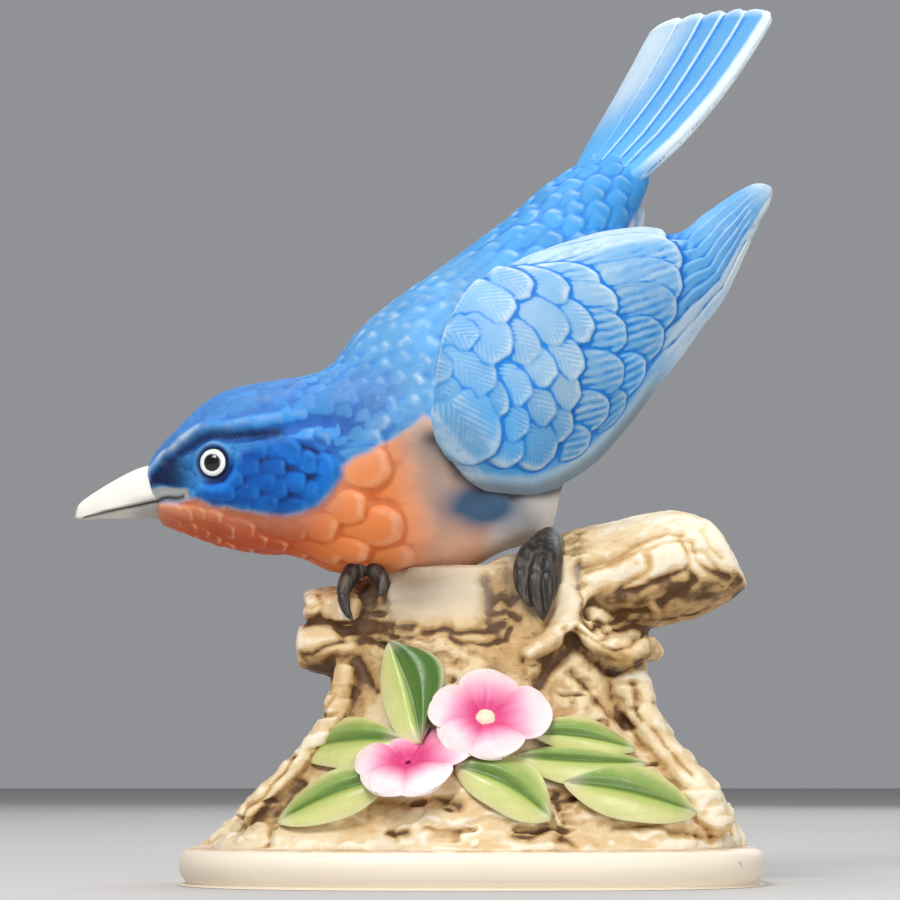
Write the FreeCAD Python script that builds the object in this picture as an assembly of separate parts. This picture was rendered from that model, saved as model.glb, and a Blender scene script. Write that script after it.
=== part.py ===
import FreeCAD, Part
import math
import os

# A bisque porcelain songbird on a branching stump with blossoms, on an oval plinth.
# Millimetres. +Z up, origin at the middle of the plinth's underside, the bird faces -X
# and its left side, the show side, faces -Y.

V = FreeCAD.Vector
os.makedirs("parts", exist_ok=True)

# ---- driving sizes ---------------------------------------------------------
PLINTH_LENGTH = 104.0       # along X
PLINTH_WIDTH = 70.0         # along Y
PLINTH_HEIGHT = 6.6
PLINTH_ROUND = 2.6          # how far the rim rolls in at the top and the bottom
STUMP_WALL = 3.5            # cast wall of the stump
BODY_WALL = 3.0             # cast wall of the bird
BODY_HALF_WIDTH = 21.0      # widest half width of the bird's breast
VENT_RADIUS = 1.6           # firing vents between the hollows and under the plinth
BEAK_LENGTH = 14.2
EYE_RADIUS = 3.4
EYE_PROUD = 1.1             # how far the eyeball stands out of the head
WING_THICK = 5.0            # at the shoulder; it thins towards the tip
WING_LENGTH = 80.5
WING_RISE = 39.0            # degrees, wing line above level
FAR_WING_RISE = 52.0        # the hidden wing is folded closer to the rump
FAR_WING_DROP = 5.0
FAR_WING_LENGTH = 66.0
TAIL_LENGTH = 48.0
TAIL_HALF_WIDTH = 16.6      # at the end of the fan
TAIL_THICK = 3.4
TOE_RADIUS = 2.0
LEAF_THICK = 2.2
LEAF_VEIN = 0.8             # width and depth of the midrib groove
PETAL_THICK = 1.7
UPPER_PETAL = 5.3           # half length of a petal of the upper blossom
LOWER_PETAL = 5.4
BUTTON_RADIUS = 1.9

GIRTH = BODY_HALF_WIDTH / 21.0

# Bird's cross-sections from the beak to the rump: centre x, y, z; pitch, yaw and roll
# in degrees; half width, height above and depth below the centre line.
BODY = (
    (-56.8, -10.0, 68.7, 14, 6, 3, 4.2, 4.2, 4.2),
    (-54.3, -9.7, 69.6, 15, 6, 3, 6.6, 6.8, 5.9),
    (-50.1, -9.3, 71.5, 15, 7, 3, 9.2, 9.2, 9.7),
    (-44.9, -8.6, 73.0, 13, 8, 4, 11.8, 12.4, 13.0),
    (-39.6, -7.7, 73.9, 10, 10, 4, 13.2, 13.9, 14.6),
    (-32.5, -6.4, 74.6, 8, 12, 5, 14.0, 14.6, 16.0),
    (-25.4, -4.7, 75.0, 15, 14, 6, 15.6, 15.7, 20.5),
    (-18.0, -2.7, 77.2, 26, 16, 7, 18.4, 16.7, 25.4),
    (-9.3, 0.0, 81.5, 33, 19, 8, 20.6, 20.7, 26.6),
    (-0.2, 3.4, 90.1, 37, 22, 9, 21.0, 20.2, 26.5),
    (8.1, 7.0, 100.8, 43, 25, 10, 18.0, 16.6, 20.2),
    (15.2, 10.6, 111.6, 49, 28, 10, 14.0, 12.4, 14.0),
    (21.4, 14.1, 122.2, 52, 31, 10, 10.0, 9.0, 8.5),
    (25.9, 16.9, 130.0, 52, 33, 10, 8.5, 5.0, 5.5),
)

# Stump outline: height; reach to the left, right, front and back.
STUMP = (
    (0.0, 48.6, 48.8, 31.4, 31.4),
    (2.0, 46.2, 47.9, 30.4, 30.2),
    (5.0, 42.9, 46.3, 28.8, 28.2),
    (9.0, 40.0, 44.0, 27.0, 26.0),
    (14.0, 34.0, 40.5, 24.5, 23.5),
    (19.0, 29.5, 34.5, 22.0, 21.0),
    (25.0, 26.5, 31.5, 18.5, 18.5),
    (31.0, 25.0, 31.0, 16.5, 16.5),
    (37.0, 25.5, 32.0, 15.5, 15.0),
    (42.0, 25.0, 29.5, 14.0, 14.0),
    (46.0, 22.5, 26.0, 12.6, 12.8),
    (49.5, 18.0, 20.5, 10.5, 11.0),
)


def rad(a):
    return math.radians(a)


def ring(points):
    """A smooth closed wire through the points."""
    curve = Part.BSplineCurve()
    curve.interpolate(Points=points, PeriodicFlag=True)
    return Part.Wire([curve.toShape()])


def loft(rings, straight=False):
    """A solid through the rings, curved along its length or straight between them."""
    return Part.makeLoft(rings, True, straight)


def meet(blank, *others):
    """Cut a blank back so that it meets its neighbours face to face."""
    for other in others:
        blank = blank.cut(other)
    return blank


def biggest(shape):
    """The main solid of a cut result, without slivers."""
    return max(shape.Solids, key=lambda s: s.Volume)


# ---- the bird's body -------------------------------------------------------
def section_axes(row):
    """Along, up and near-side directions of a body section."""
    pitch, yaw, roll = rad(row[3]), rad(row[4]), rad(row[5])
    along = V(1, math.tan(yaw), math.tan(pitch)).normalize()
    near = V(math.sin(yaw), -math.cos(yaw), 0)
    up = near.cross(along)
    c, s = math.cos(roll), math.sin(roll)
    return along, up * c + near * s, near * c - up * s


def body_ring(row, inset=0.0, count=20):
    _, up, near = section_axes(row)
    wide = max(row[6] * GIRTH - inset, 0.8)
    high, deep = [max(r - inset, 0.8) for r in row[7:]]
    points = []
    for i in range(count):
        a = 2 * math.pi * i / count
        tall = high if math.cos(a) > 0 else deep
        points.append(V(*row[:3]) + up * (tall * math.cos(a)) + near * (wide * math.sin(a)))
    return ring(points)


body_blank = loft([body_ring(row) for row in BODY])
body_hollow = loft([body_ring(row, BODY_WALL) for row in BODY[2:-2]], True)


# ---- plinth and stump ------------------------------------------------------
def plinth_ring(z, inset, count=32, power=2.6):
    points = []
    for i in range(count):
        a = 2 * math.pi * i / count
        c, s = math.cos(a), math.sin(a)
        x = math.copysign(abs(c) ** (2 / power), c) * (PLINTH_LENGTH / 2 - inset)
        y = math.copysign(abs(s) ** (2 / power), s) * (PLINTH_WIDTH / 2 - inset)
        points.append(V(x, y, z))
    return ring(points)


rim_steps = ((0.0, 0.85), (0.18, 0.2), (0.45, 0.0), (0.72, 0.2), (0.92, 0.6), (1.0, 1.0))
plinth = loft([plinth_ring(f * PLINTH_HEIGHT, g * PLINTH_ROUND) for f, g in rim_steps])


def stump_ring(row, grow=0.0, count=24):
    height, left, right, front, back = row
    points = []
    for i in range(count):
        a = 2 * math.pi * i / count
        c, s = math.cos(a), math.sin(a)
        x = c * ((right if c > 0 else left) + grow)
        y = s * ((back if s > 0 else front) + grow)
        points.append(V(x, y, PLINTH_HEIGHT + height))
    return ring(points)


def stump_form(grow):
    """The stump's outer form, or the same form swollen for the leaves."""
    return loft([stump_ring(row, grow) for row in STUMP])


stump_blank = stump_form(0.0)
hollow_rows = [row for row in STUMP if STUMP_WALL < row[0] < STUMP[-1][0] - 10]
stump_hollow = loft([stump_ring(row, -STUMP_WALL) for row in hollow_rows], True)


def log_ring(x, y, z, half_y, half_z, lean, count=14):
    """A ring across a branch that runs along X, leaned by some degrees."""
    points = []
    for i in range(count):
        a = 2 * math.pi * i / count
        up = half_z * math.sin(a)
        points.append(V(x - up * math.sin(rad(lean)), y + half_y * math.cos(a),
                        z + up * math.cos(rad(lean))))
    return ring(points)


branch_right_blank = loft([
    log_ring(6.0, 0.0, 49.5, 9.0, 6.0, 0),
    log_ring(18.0, -1.0, 53.0, 10.0, 9.0, 6),
    log_ring(29.0, -1.5, 55.0, 10.0, 10.0, 12),
    log_ring(37.0, -2.5, 57.0, 9.5, 9.8, 20),
    log_ring(42.5, -3.0, 57.8, 8.6, 8.2, 30),
    log_ring(46.0, -3.5, 57.4, 5.8, 5.0, 38),
])
branch_left_blank = loft([
    log_ring(-16.0, -1.0, 45.0, 9.0, 6.5, 0),
    log_ring(-22.0, -2.0, 45.0, 8.6, 7.8, 0),
    log_ring(-27.5, -3.0, 44.6, 7.4, 7.0, 0),
    log_ring(-31.0, -4.0, 44.2, 4.8, 4.8, 0),
])

# Vents join the hollows and open under the plinth, off its middle.
belly_vent = Part.makeCylinder(VENT_RADIUS, 34, V(-2, 2, 38))
foot_vent = Part.makeCylinder(VENT_RADIUS, 30, V(12, 8, -4))

# ---- the beak --------------------------------------------------------------
BEAK_YAW = 6.0
# along the beak from the face, centre height, half width, half height
BEAK = ((-0.10, 69.4, 4.0, 4.5), (0.05, 69.2, 3.9, 4.6), (0.28, 68.6, 3.3, 4.1),
        (0.52, 67.9, 2.6, 3.2), (0.76, 66.7, 1.9, 2.2), (0.93, 65.7, 1.2, 1.4),
        (1.0, 65.1, 0.55, 0.7))


def beak_ring(step, height, wide, tall, count=12):
    x = BODY[0][0] - step * BEAK_LENGTH + 0.7
    y = BODY[0][1] + (x - BODY[0][0]) * math.tan(rad(BEAK_YAW))
    side = V(math.sin(rad(BEAK_YAW)), -math.cos(rad(BEAK_YAW)), 0)
    return ring([V(x, y, height) + side * (wide * math.cos(2 * math.pi * i / count))
                 + V(0, 0, tall * math.sin(2 * math.pi * i / count)) for i in range(count)])


beak_blank = meet(loft([beak_ring(*row) for row in BEAK]), body_blank)
gape = Part.makeBox(60, 40, 30, V(-60, -20, -30))
gape.rotate(V(0, 0, 0), V(0, 1, 0), -10.9)
gape.translate(V(-52.0, -10, 67.85))
lower_stop = Part.makeBox(BEAK_LENGTH * 0.27, 20, 20,
                          V(BODY[0][0] - BEAK_LENGTH, -22, 55))
beak_upper = biggest(beak_blank.cut(gape))
beak_lower = biggest(beak_blank.common(gape).cut(lower_stop))

# ---- the eyes --------------------------------------------------------------
EYE_ROW = (-45.9, -8.75, 73.0, 13, 8, 4, 11.4, 12.0, 12.4)


def eyeball(side):
    _, up, near = section_axes(EYE_ROW)
    reach = EYE_ROW[6] * GIRTH + EYE_PROUD - EYE_RADIUS
    return Part.makeSphere(EYE_RADIUS, V(*EYE_ROW[:3]) + near * (side * reach) + up * 1.0)


eye_left, eye_right = eyeball(1), eyeball(-1)

# ---- the wings -------------------------------------------------------------
WING_YAW = 20.0
WING_ROOT = V(-9.3, 0, 81.5)
# along the wing; upper and lower edge; reach from the bird's middle plane at the
# upper edge, the middle and the lower edge; thickness as a share of the shoulder's
WING = (
    (-0.066, -1.0, 11.0, 19.0, 20.0, 18.5, 0.5),
    (0.0, -5.0, 16.0, 20.6, 22.6, 18.6, 1.0),
    (0.055, -9.0, 19.6, 20.0, 23.2, 17.4, 1.0),
    (0.12, -12.8, 21.6, 18.6, 23.4, 15.6, 1.0),
    (0.23, -15.5, 23.0, 17.6, 23.2, 13.4, 1.0),
    (0.36, -14.2, 22.0, 16.6, 21.6, 12.2, 0.95),
    (0.47, -11.4, 20.0, 15.2, 19.4, 11.6, 0.85),
    (0.57, -8.3, 18.5, 13.6, 17.0, 11.2, 0.75),
    (0.66, -4.4, 16.7, 12.2, 15.0, 11.0, 0.66),
    (0.74, 0.6, 15.2, 11.8, 13.6, 11.2, 0.60),
    (0.83, 0.9, 12.0, 11.6, 12.8, 11.2, 0.54),
    (0.91, 1.4, 9.0, 11.4, 12.2, 11.2, 0.48),
    (0.965, 2.3, 7.2, 11.4, 11.8, 11.2, 0.42),
    (1.0, 3.8, 6.0, 11.4, 11.5, 11.3, 0.32),
)


def wing_blank(side, length, rise, drop):
    level = V(math.cos(rad(WING_YAW)), math.sin(rad(WING_YAW)), 0)
    out = V(math.sin(rad(WING_YAW)), -math.cos(rad(WING_YAW)), 0) * side
    line = level * math.cos(rad(rise)) + V(0, 0, math.sin(rad(rise)))
    down = level * math.sin(rad(rise)) - V(0, 0, math.cos(rad(rise)))
    rings = []
    for step, top, low, reach_top, reach_mid, reach_low, share in WING:
        thick = WING_THICK * share

        def at(f, depth):
            bulge = 4 * f * (1 - f)
            chord = reach_top + (reach_low - reach_top) * f
            reach = chord + (reach_mid - (reach_top + reach_low) / 2) * bulge - depth * thick
            return (WING_ROOT + line * (step * length) + down * (top + (low - top) * f + drop)
                    + out * (reach * GIRTH))

        rings.append(ring([at(f, d) for f, d in (
            (0.0, 0.5), (0.06, 0.1), (0.27, 0.0), (0.5, 0.0), (0.73, 0.0), (0.94, 0.1),
            (1.0, 0.5), (0.94, 0.9), (0.73, 1.0), (0.5, 1.0), (0.27, 1.0), (0.06, 0.9))]))
    return loft(rings)


# ---- the tail --------------------------------------------------------------
TAIL_START = V(22.9, 14.9, 127.4)
TAIL_YAW, TAIL_PITCH, TAIL_ROLL = 30.8, 57.0, 10.0


def tail_blank():
    row = (0, 0, 0, TAIL_PITCH, TAIL_YAW, TAIL_ROLL)
    along, up, near = section_axes(row)
    rings = []
    for step, wide, crown, thick in ((0.0, 0.45, 1.6, 1.25), (0.12, 0.62, 1.8, 1.1),
                                     (0.3, 0.8, 1.6, 1.0), (0.55, 0.93, 1.2, 0.9),
                                     (0.8, 1.0, 0.8, 0.8), (0.95, 0.96, 0.6, 0.7),
                                     (1.0, 0.84, 0.6, 0.5)):
        mid = TAIL_START + along * (step * TAIL_LENGTH) + up * (-1.4 * math.sin(math.pi * step))
        w, t = TAIL_HALF_WIDTH * wide, TAIL_THICK * thick / 2
        pts = []
        for f, g in ((1, 0), (0.92, 0.7), (0.5, 1), (0, 1), (-0.5, 1), (-0.92, 0.7), (-1, 0),
                     (-0.92, -0.7), (-0.5, -1), (0, -1), (0.5, -1), (0.92, -0.7)):
            pts.append(mid + near * (w * f) + up * (t * g + crown * (1 - f * f)))
        rings.append(ring(pts))
    return loft(rings)


# ---- the feet --------------------------------------------------------------
def toe(points, radii):
    """A toe or shank: balls joined by cones along a bent line."""
    solid = Part.makeSphere(radii[0], points[0])
    for i in range(1, len(points)):
        a, b = points[i - 1], points[i]
        axis = b - a
        r0, r1 = radii[i - 1], radii[i]
        if abs(r0 - r1) < 1e-6:
            r1 = r1 * 0.999
        solid = solid.fuse(Part.makeCone(r0, r1, axis.Length, a, axis))
        solid = solid.fuse(Part.makeSphere(radii[i], b))
    return solid


def foot(hip, knuckle, tips):
    k = TOE_RADIUS / 2.0
    solid = toe([hip, knuckle], [3.4 * k, 2.6 * k])
    for tip in tips:
        bend = (knuckle + tip) * 0.5 + V(0, -1.8, 1.2)
        solid = solid.fuse(toe([knuckle, bend, tip], [2.2 * k, 2.0 * k, 1.1 * k]))
    return solid


foot_left_blank = foot(V(12.5, -3.0, 64.0), V(11.2, -9.5, 58.5),
                       [V(8.0, -14.0, 51.5), V(12.6, -14.6, 48.0), V(15.6, -13.0, 52.5)])
foot_right_blank = foot(V(-17.5, 0.0, 58.5), V(-19.6, -5.5, 54.8),
                        [V(-22.2, -10.4, 47.6), V(-17.4, -10.8, 49.5)])

# ---- leaves and blossoms ---------------------------------------------------
# base x, z; tip x, z; bulge above and below the midrib
LEAVES = (
    (-9.5, 24.0, -13.5, 41.0, 5.4, 5.2),
    (-12.0, 24.4, -31.0, 22.2, 4.4, 4.2),
    (-13.5, 18.6, -33.0, 10.4, 3.9, 3.9),
    (-3.5, 20.0, 13.2, 11.2, 5.0, 4.6),
    (10.5, 25.4, 28.2, 22.8, 3.2, 2.6),
    (8.0, 21.4, 29.6, 20.6, 2.7, 3.2),
    (15.5, 17.0, 38.2, 12.0, 5.0, 4.4),
)
LEAF_STEPS = ((0.12, 0.55), (0.35, 0.95), (0.6, 0.92), (0.85, 0.5))


def leaf_prism(x0, z0, x1, z1, over, under):
    """A leaf outline in the XZ plane, run from front to back through the stump."""
    base, tip = V(x0, -60, z0), V(x1, -60, z1)
    run = tip - base
    side = V(-run.z, 0, run.x).normalize()
    if side.z < 0:
        side = side * -1
    upper = [base + run * f + side * (over * g) for f, g in LEAF_STEPS]
    lower = [base + run * f - side * (under * g) for f, g in reversed(LEAF_STEPS)]
    face = Part.Face(ring([base] + upper + [tip] + lower))
    return face.extrude(V(0, 60, 0))


leaf_skin = stump_form(LEAF_THICK)
vein_skin = stump_form(LEAF_THICK - LEAF_VEIN)
leaves = []
taken = []
for x0, z0, x1, z1, over, under in LEAVES:
    leaf = leaf_prism(x0, z0, x1, z1, over, under).common(leaf_skin)
    half = LEAF_VEIN / 2
    vein = leaf_prism(x0 + (x1 - x0) * 0.08, z0 + (z1 - z0) * 0.08, x1 - (x1 - x0) * 0.12,
                      z1 - (z1 - z0) * 0.12, half, half).cut(vein_skin)
    leaves.append(leaf.cut(vein))


def blossom(centre, tilt, turn, half, squash):
    """Five cupped petals round a point; returns them with the way they face."""
    face = V(math.sin(rad(turn)) * math.cos(rad(tilt)),
             -math.cos(rad(turn)) * math.cos(rad(tilt)), math.sin(rad(tilt)))
    across = V(math.cos(rad(turn)), math.sin(rad(turn)), 0)
    rise = face.cross(across) * -1
    if rise.z < 0:
        rise = rise * -1
    cup_radius = half * 4.2
    cup_mid = centre + face * cup_radius
    cup = Part.makeSphere(cup_radius + PETAL_THICK, cup_mid).cut(
        Part.makeSphere(cup_radius, cup_mid))
    petals = []
    for i in range(5):
        a = rad(90 + 72 * i)
        out = across * math.cos(a) + rise * math.sin(a)
        wide = across * -math.sin(a) + rise * math.cos(a)
        mid = centre + out * (half * 0.96) - face * 8
        points = []
        for j in range(12):
            b = 2 * math.pi * j / 12
            reach = half * math.cos(b)
            breadth = half * squash * math.sin(b) * (1 + 0.18 * math.cos(b))
            points.append(mid + out * reach + wide * breadth)
        petal = Part.Face(ring(points)).extrude(face * 22).common(cup)
        petals.append(petal)
    return petals, face


upper_petals, upper_face = blossom(V(2.2, -22.6, 28.6), 38, 2, UPPER_PETAL, 0.98)
lower_petals, lower_face = blossom(V(-10.6, -24.6, 20.6), 48, -14, LOWER_PETAL, 0.98)
button = Part.makeSphere(BUTTON_RADIUS, V(2.2, -22.6, 28.6) + upper_face * 0.7)

# ---- fitting the pieces together -------------------------------------------
body = body_blank.cut(body_hollow).cut(belly_vent)
body = meet(body, eye_left, eye_right)
wing_left = biggest(meet(wing_blank(1, WING_LENGTH, WING_RISE, 0.0), body_blank))
tail = biggest(meet(tail_blank(), body_blank, wing_left))
far_wing = wing_blank(-1, FAR_WING_LENGTH, FAR_WING_RISE, FAR_WING_DROP)
wing_right = biggest(meet(far_wing, body_blank, tail))

stump = meet(stump_blank, body_blank).cut(stump_hollow).cut(belly_vent).cut(foot_vent)
plinth = plinth.cut(foot_vent)
branch_right = biggest(meet(branch_right_blank, stump_blank, body_blank))
branch_left = biggest(meet(branch_left_blank, stump_blank, body_blank))
woods = (stump_blank, branch_right, branch_left)
foot_left = biggest(meet(foot_left_blank, body_blank, wing_left, *woods))
foot_right = biggest(meet(foot_right_blank, body_blank, *woods))

nodes = {
    "base_plinth": plinth,
    "stump": stump,
    "branch_right": branch_right,
    "branch_left": branch_left,
    "bird_body": body,
    "beak_upper": beak_upper,
    "beak_lower": beak_lower,
    "eye_left": eye_left,
    "eye_right": eye_right,
    "wing_left": wing_left,
    "wing_right": wing_right,
    "tail": tail,
    "foot_left": foot_left,
    "foot_right": foot_right,
    "flower_button": button,
}

# Blossoms go on over the leaves, the upper one over the lower one.
placed = [button]
for name, petals in (("flower_upper", upper_petals), ("flower_lower", lower_petals)):
    for i, petal in enumerate(petals):
        petal = biggest(meet(petal, stump_blank, *placed))
        placed.append(petal)
        nodes["%s_petal_%d" % (name, i + 1)] = petal
for i, leaf in enumerate(leaves):
    leaf = biggest(meet(leaf, stump_blank, branch_left, *placed))
    placed.append(leaf)
    nodes["leaf_%d" % (i + 1)] = leaf

for name, shape in nodes.items():
    solid = biggest(shape)
    solid.exportStep("parts/%s.step" % name)
    print("%-24s volume %9.1f  valid %s" % (name, solid.Volume, solid.isValid()))
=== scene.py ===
"""Bisque porcelain songbird on a flowering stump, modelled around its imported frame."""
import math

import bmesh
import bpy
import numpy as np
from bpy.props import FloatProperty, FloatVectorProperty, PointerProperty
from mathutils import Matrix, Vector


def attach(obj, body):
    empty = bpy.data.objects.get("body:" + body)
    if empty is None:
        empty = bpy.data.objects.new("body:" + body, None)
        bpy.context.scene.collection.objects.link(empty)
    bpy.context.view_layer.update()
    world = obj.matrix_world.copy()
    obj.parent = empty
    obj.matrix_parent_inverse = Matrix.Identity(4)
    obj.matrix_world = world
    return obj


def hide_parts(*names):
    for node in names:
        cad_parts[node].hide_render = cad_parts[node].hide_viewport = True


bl_info = {
    "name": "Porcelain songbird figurine",
    "version": (1, 0, 0),
    "blender": (4, 5, 0),
    "location": "View3D > Sidebar > Figurine",
    "description": "Bisque songbird on a flowering stump, piece by piece",
    "category": "Object",
}

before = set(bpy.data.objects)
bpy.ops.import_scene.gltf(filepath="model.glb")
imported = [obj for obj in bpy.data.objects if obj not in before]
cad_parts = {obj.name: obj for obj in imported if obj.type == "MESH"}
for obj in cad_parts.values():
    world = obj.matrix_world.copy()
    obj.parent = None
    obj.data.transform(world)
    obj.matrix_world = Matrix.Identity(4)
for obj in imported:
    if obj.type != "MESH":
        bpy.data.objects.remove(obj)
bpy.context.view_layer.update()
MM = 0.001
SEAM_GAP = 2e-7  # metres between points that are one point of a seam
BARK_DEPTH = 1.15  # millimetres; the grooves' table is written for this depth
CROSSING_DEPTH = 1.45  # millimetres that crossing grooves can reach together

# ---- shape tables, millimetres and degrees ------------------------------------
# Bird's sections: centre x, y, z; pitch, yaw, roll; half width, height, depth.
BODY = (
    (-56.8, -10.0, 68.7, 14, 6, 3, 4.2, 4.2, 4.2),
    (-54.3, -9.7, 69.6, 15, 6, 3, 6.6, 6.8, 5.9),
    (-50.1, -9.3, 71.5, 15, 7, 3, 9.2, 9.2, 9.7),
    (-44.9, -8.6, 73.0, 13, 8, 4, 11.8, 12.4, 13.0),
    (-39.6, -7.7, 73.9, 10, 10, 4, 13.2, 13.9, 14.6),
    (-32.5, -6.4, 74.6, 8, 12, 5, 14.0, 14.6, 16.0),
    (-25.4, -4.7, 75.0, 15, 14, 6, 15.6, 15.7, 20.5),
    (-18.0, -2.7, 77.2, 26, 16, 7, 18.4, 16.7, 25.4),
    (-9.3, 0.0, 81.5, 33, 19, 8, 20.6, 20.7, 26.6),
    (-0.2, 3.4, 90.1, 37, 22, 9, 21.0, 20.2, 26.5),
    (8.1, 7.0, 100.8, 43, 25, 10, 18.0, 16.6, 20.2),
    (15.2, 10.6, 111.6, 49, 28, 10, 14.0, 12.4, 14.0),
    (21.4, 14.1, 122.2, 52, 31, 10, 10.0, 9.0, 8.5),
    (25.9, 16.9, 130.0, 52, 33, 10, 8.5, 5.0, 5.5),
    (28.6, 18.7, 134.6, 55, 33, 10, 8.2, 2.6, 2.4),
)
# Wing: share of its length; upper and lower edge; reach out from the bird's middle
# plane at the upper edge, the middle and the lower edge; thickness share.
WING = (
    (-0.066, -1.0, 11.0, 19.0, 20.0, 18.5, 0.5),
    (0.0, -5.0, 16.0, 20.6, 22.6, 18.6, 1.0),
    (0.055, -9.0, 19.6, 20.0, 23.2, 17.4, 1.0),
    (0.12, -12.8, 21.6, 18.6, 23.4, 15.6, 1.0),
    (0.23, -15.5, 23.0, 17.6, 23.2, 13.4, 1.0),
    (0.36, -14.2, 22.0, 16.6, 21.6, 12.2, 0.95),
    (0.47, -11.4, 20.0, 15.2, 19.4, 11.6, 0.85),
    (0.57, -8.3, 18.5, 13.6, 17.0, 11.2, 0.75),
    (0.66, -4.4, 16.7, 12.2, 15.0, 11.0, 0.66),
    (0.74, 0.6, 15.2, 11.8, 13.6, 11.2, 0.60),
    (0.83, 0.9, 12.0, 11.6, 12.8, 11.2, 0.54),
    (0.91, 1.4, 9.0, 11.4, 12.2, 11.2, 0.48),
    (0.965, 2.3, 7.2, 11.4, 11.8, 11.2, 0.42),
    (1.0, 3.8, 6.0, 11.4, 11.5, 11.3, 0.32),
)
# Wing feathers: layer, then root and tip along and down the wing, then width.
TERTIAL, GREATER, MEDIAN, LESSER, SHOULDER = range(5)
WING_FEATHERS = (
    (TERTIAL, 24.0, -13.6, 57.2, -1.2, 9.0), (TERTIAL, 25.0, -10.0, 56.0, 3.2, 8.6),
    (TERTIAL, 26.7, -6.5, 52.5, 6.8, 8.0), (TERTIAL, 28.8, -2.9, 48.6, 10.0, 7.6),
    (TERTIAL, 28.2, 2.8, 42.8, 12.6, 7.2), (TERTIAL, 24.3, 8.2, 36.2, 14.8, 7.0),
    (TERTIAL, 20.6, 12.3, 29.4, 17.0, 6.4),
    (GREATER, 26.6, -9.5, 37.4, -2.6, 6.6), (GREATER, 24.8, -5.9, 37.3, 2.0, 6.8),
    (GREATER, 23.1, -0.7, 35.3, 7.2, 7.4), (GREATER, 19.9, 4.4, 30.7, 12.6, 7.2),
    (GREATER, 16.0, 9.3, 24.6, 15.8, 6.6), (GREATER, 12.5, 12.5, 18.4, 18.2, 5.8),
    (MEDIAN, 15.5, -8.6, 16.3, 0.5, 6.6), (MEDIAN, 21.0, -9.1, 23.7, 1.0, 7.2),
    (MEDIAN, 26.0, -11.0, 30.0, -4.0, 6.6), (MEDIAN, 14.7, -3.8, 16.8, 5.4, 6.3),
    (MEDIAN, 20.1, -1.0, 22.0, 7.4, 6.6), (MEDIAN, 25.5, -4.0, 28.4, 3.6, 6.4),
    (MEDIAN, 9.4, -2.8, 10.6, 5.1, 6.3), (MEDIAN, 16.5, 3.1, 18.4, 11.0, 6.4),
    (MEDIAN, 10.9, 2.3, 12.4, 10.3, 6.2), (MEDIAN, 6.0, 1.3, 5.8, 9.4, 6.6),
    (MEDIAN, 13.1, 7.2, 14.0, 14.6, 5.8), (MEDIAN, 7.5, 6.3, 8.2, 16.2, 8.2),
    (MEDIAN, 3.1, 4.9, 2.6, 12.2, 6.3),
    (LESSER, 22.0, -15.0, 25.0, -8.4, 6.6), (LESSER, 16.5, -15.5, 18.6, -7.5, 7.2),
    (LESSER, 12.2, -12.6, 11.6, -2.8, 8.4), (LESSER, 5.7, -10.3, 5.5, 0.1, 8.0),
    (LESSER, 9.0, -13.0, 10.4, -7.4, 6.4), (LESSER, 0.5, -9.0, -0.6, 0.8, 6.8),
    (LESSER, 1.5, -12.2, 1.2, -5.3, 6.2), (LESSER, 5.1, -4.2, 5.1, 4.6, 6.4),
    (SHOULDER, 0.4, -2.3, -1.4, 8.4, 9.4),
)
# Paint zones on the near side, as x and z outlines.
CHEEK = ((-47.6, 69.4), (-45.7, 70.8), (-42.7, 72.2), (-40.4, 75.4), (-37.4, 77.0),
         (-32.8, 77.8), (-28.3, 77.6), (-24.8, 75.2), (-23.2, 73.3), (-23.6, 70.4),
         (-25.1, 68.4), (-27.1, 66.8), (-30.0, 65.5), (-35.5, 65.1), (-40.5, 66.0),
         (-45.0, 67.2), (-48.5, 68.3))
EYE_STRIPE = ((-57.8, 69.9), (-56.7, 71.0), (-54.1, 74.0), (-51.2, 76.7), (-48.5, 78.3),
              (-46.7, 79.1), (-43.1, 79.0), (-38.7, 78.9), (-36.8, 77.8), (-39.5, 75.6),
              (-41.8, 73.4), (-43.2, 70.5), (-46.7, 69.8), (-49.3, 69.2), (-53.8, 69.4))
GAPE = ((-57.5, 69.3), (-50.2, 69.4), (-49.4, 68.2), (-51.0, 67.6), (-57.5, 66.9))
ORANGE = ((-58.5, 64.2), (-54.5, 66.5), (-52.1, 67.0), (-49.5, 67.8), (-44.9, 66.9),
          (-40.7, 65.4), (-35.5, 64.8), (-30.0, 65.1), (-26.7, 66.3), (-24.2, 68.7),
          (-22.7, 70.9), (-22.7, 72.8), (-20.4, 74.3), (-17.6, 75.6), (-15.3, 77.3),
          (-12.8, 77.6), (-11.8, 75.1), (-11.0, 70.7), (-10.0, 66.7), (-9.4, 62.1),
          (-9.6, 58.5), (-13.6, 52.2), (-30.0, 45.0), (-58.0, 50.0))
UNDERSIDE = ((-62.0, 67.6), (-53.9, 66.9), (-49.5, 67.8), (-44.9, 66.9), (-40.7, 65.4),
             (-35.5, 64.8), (-30.0, 65.1), (-26.7, 66.3), (-24.2, 68.7), (-22.7, 70.9),
             (-22.7, 72.8), (-20.4, 74.3), (-17.6, 75.6), (-15.3, 77.3), (-12.5, 78.1),
             (-8.5, 81.8), (-3.8, 79.4), (-0.3, 80.0), (4.8, 82.3), (11.9, 86.7),
             (17.2, 93.9), (22.2, 104.0), (27.2, 116.4), (33.0, 128.0), (60.0, 100.0),
             (20.0, 30.0), (-62.0, 30.0))
# Line of the painted shadow that the wing casts on the body, as x and z points.
WING_SHADOW = ((-6.8, 77.9), (-4.9, 75.0), (-2.2, 71.6), (2.0, 69.5), (7.0, 68.7), (13.0, 69.9),
               (18.3, 72.4))
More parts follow.
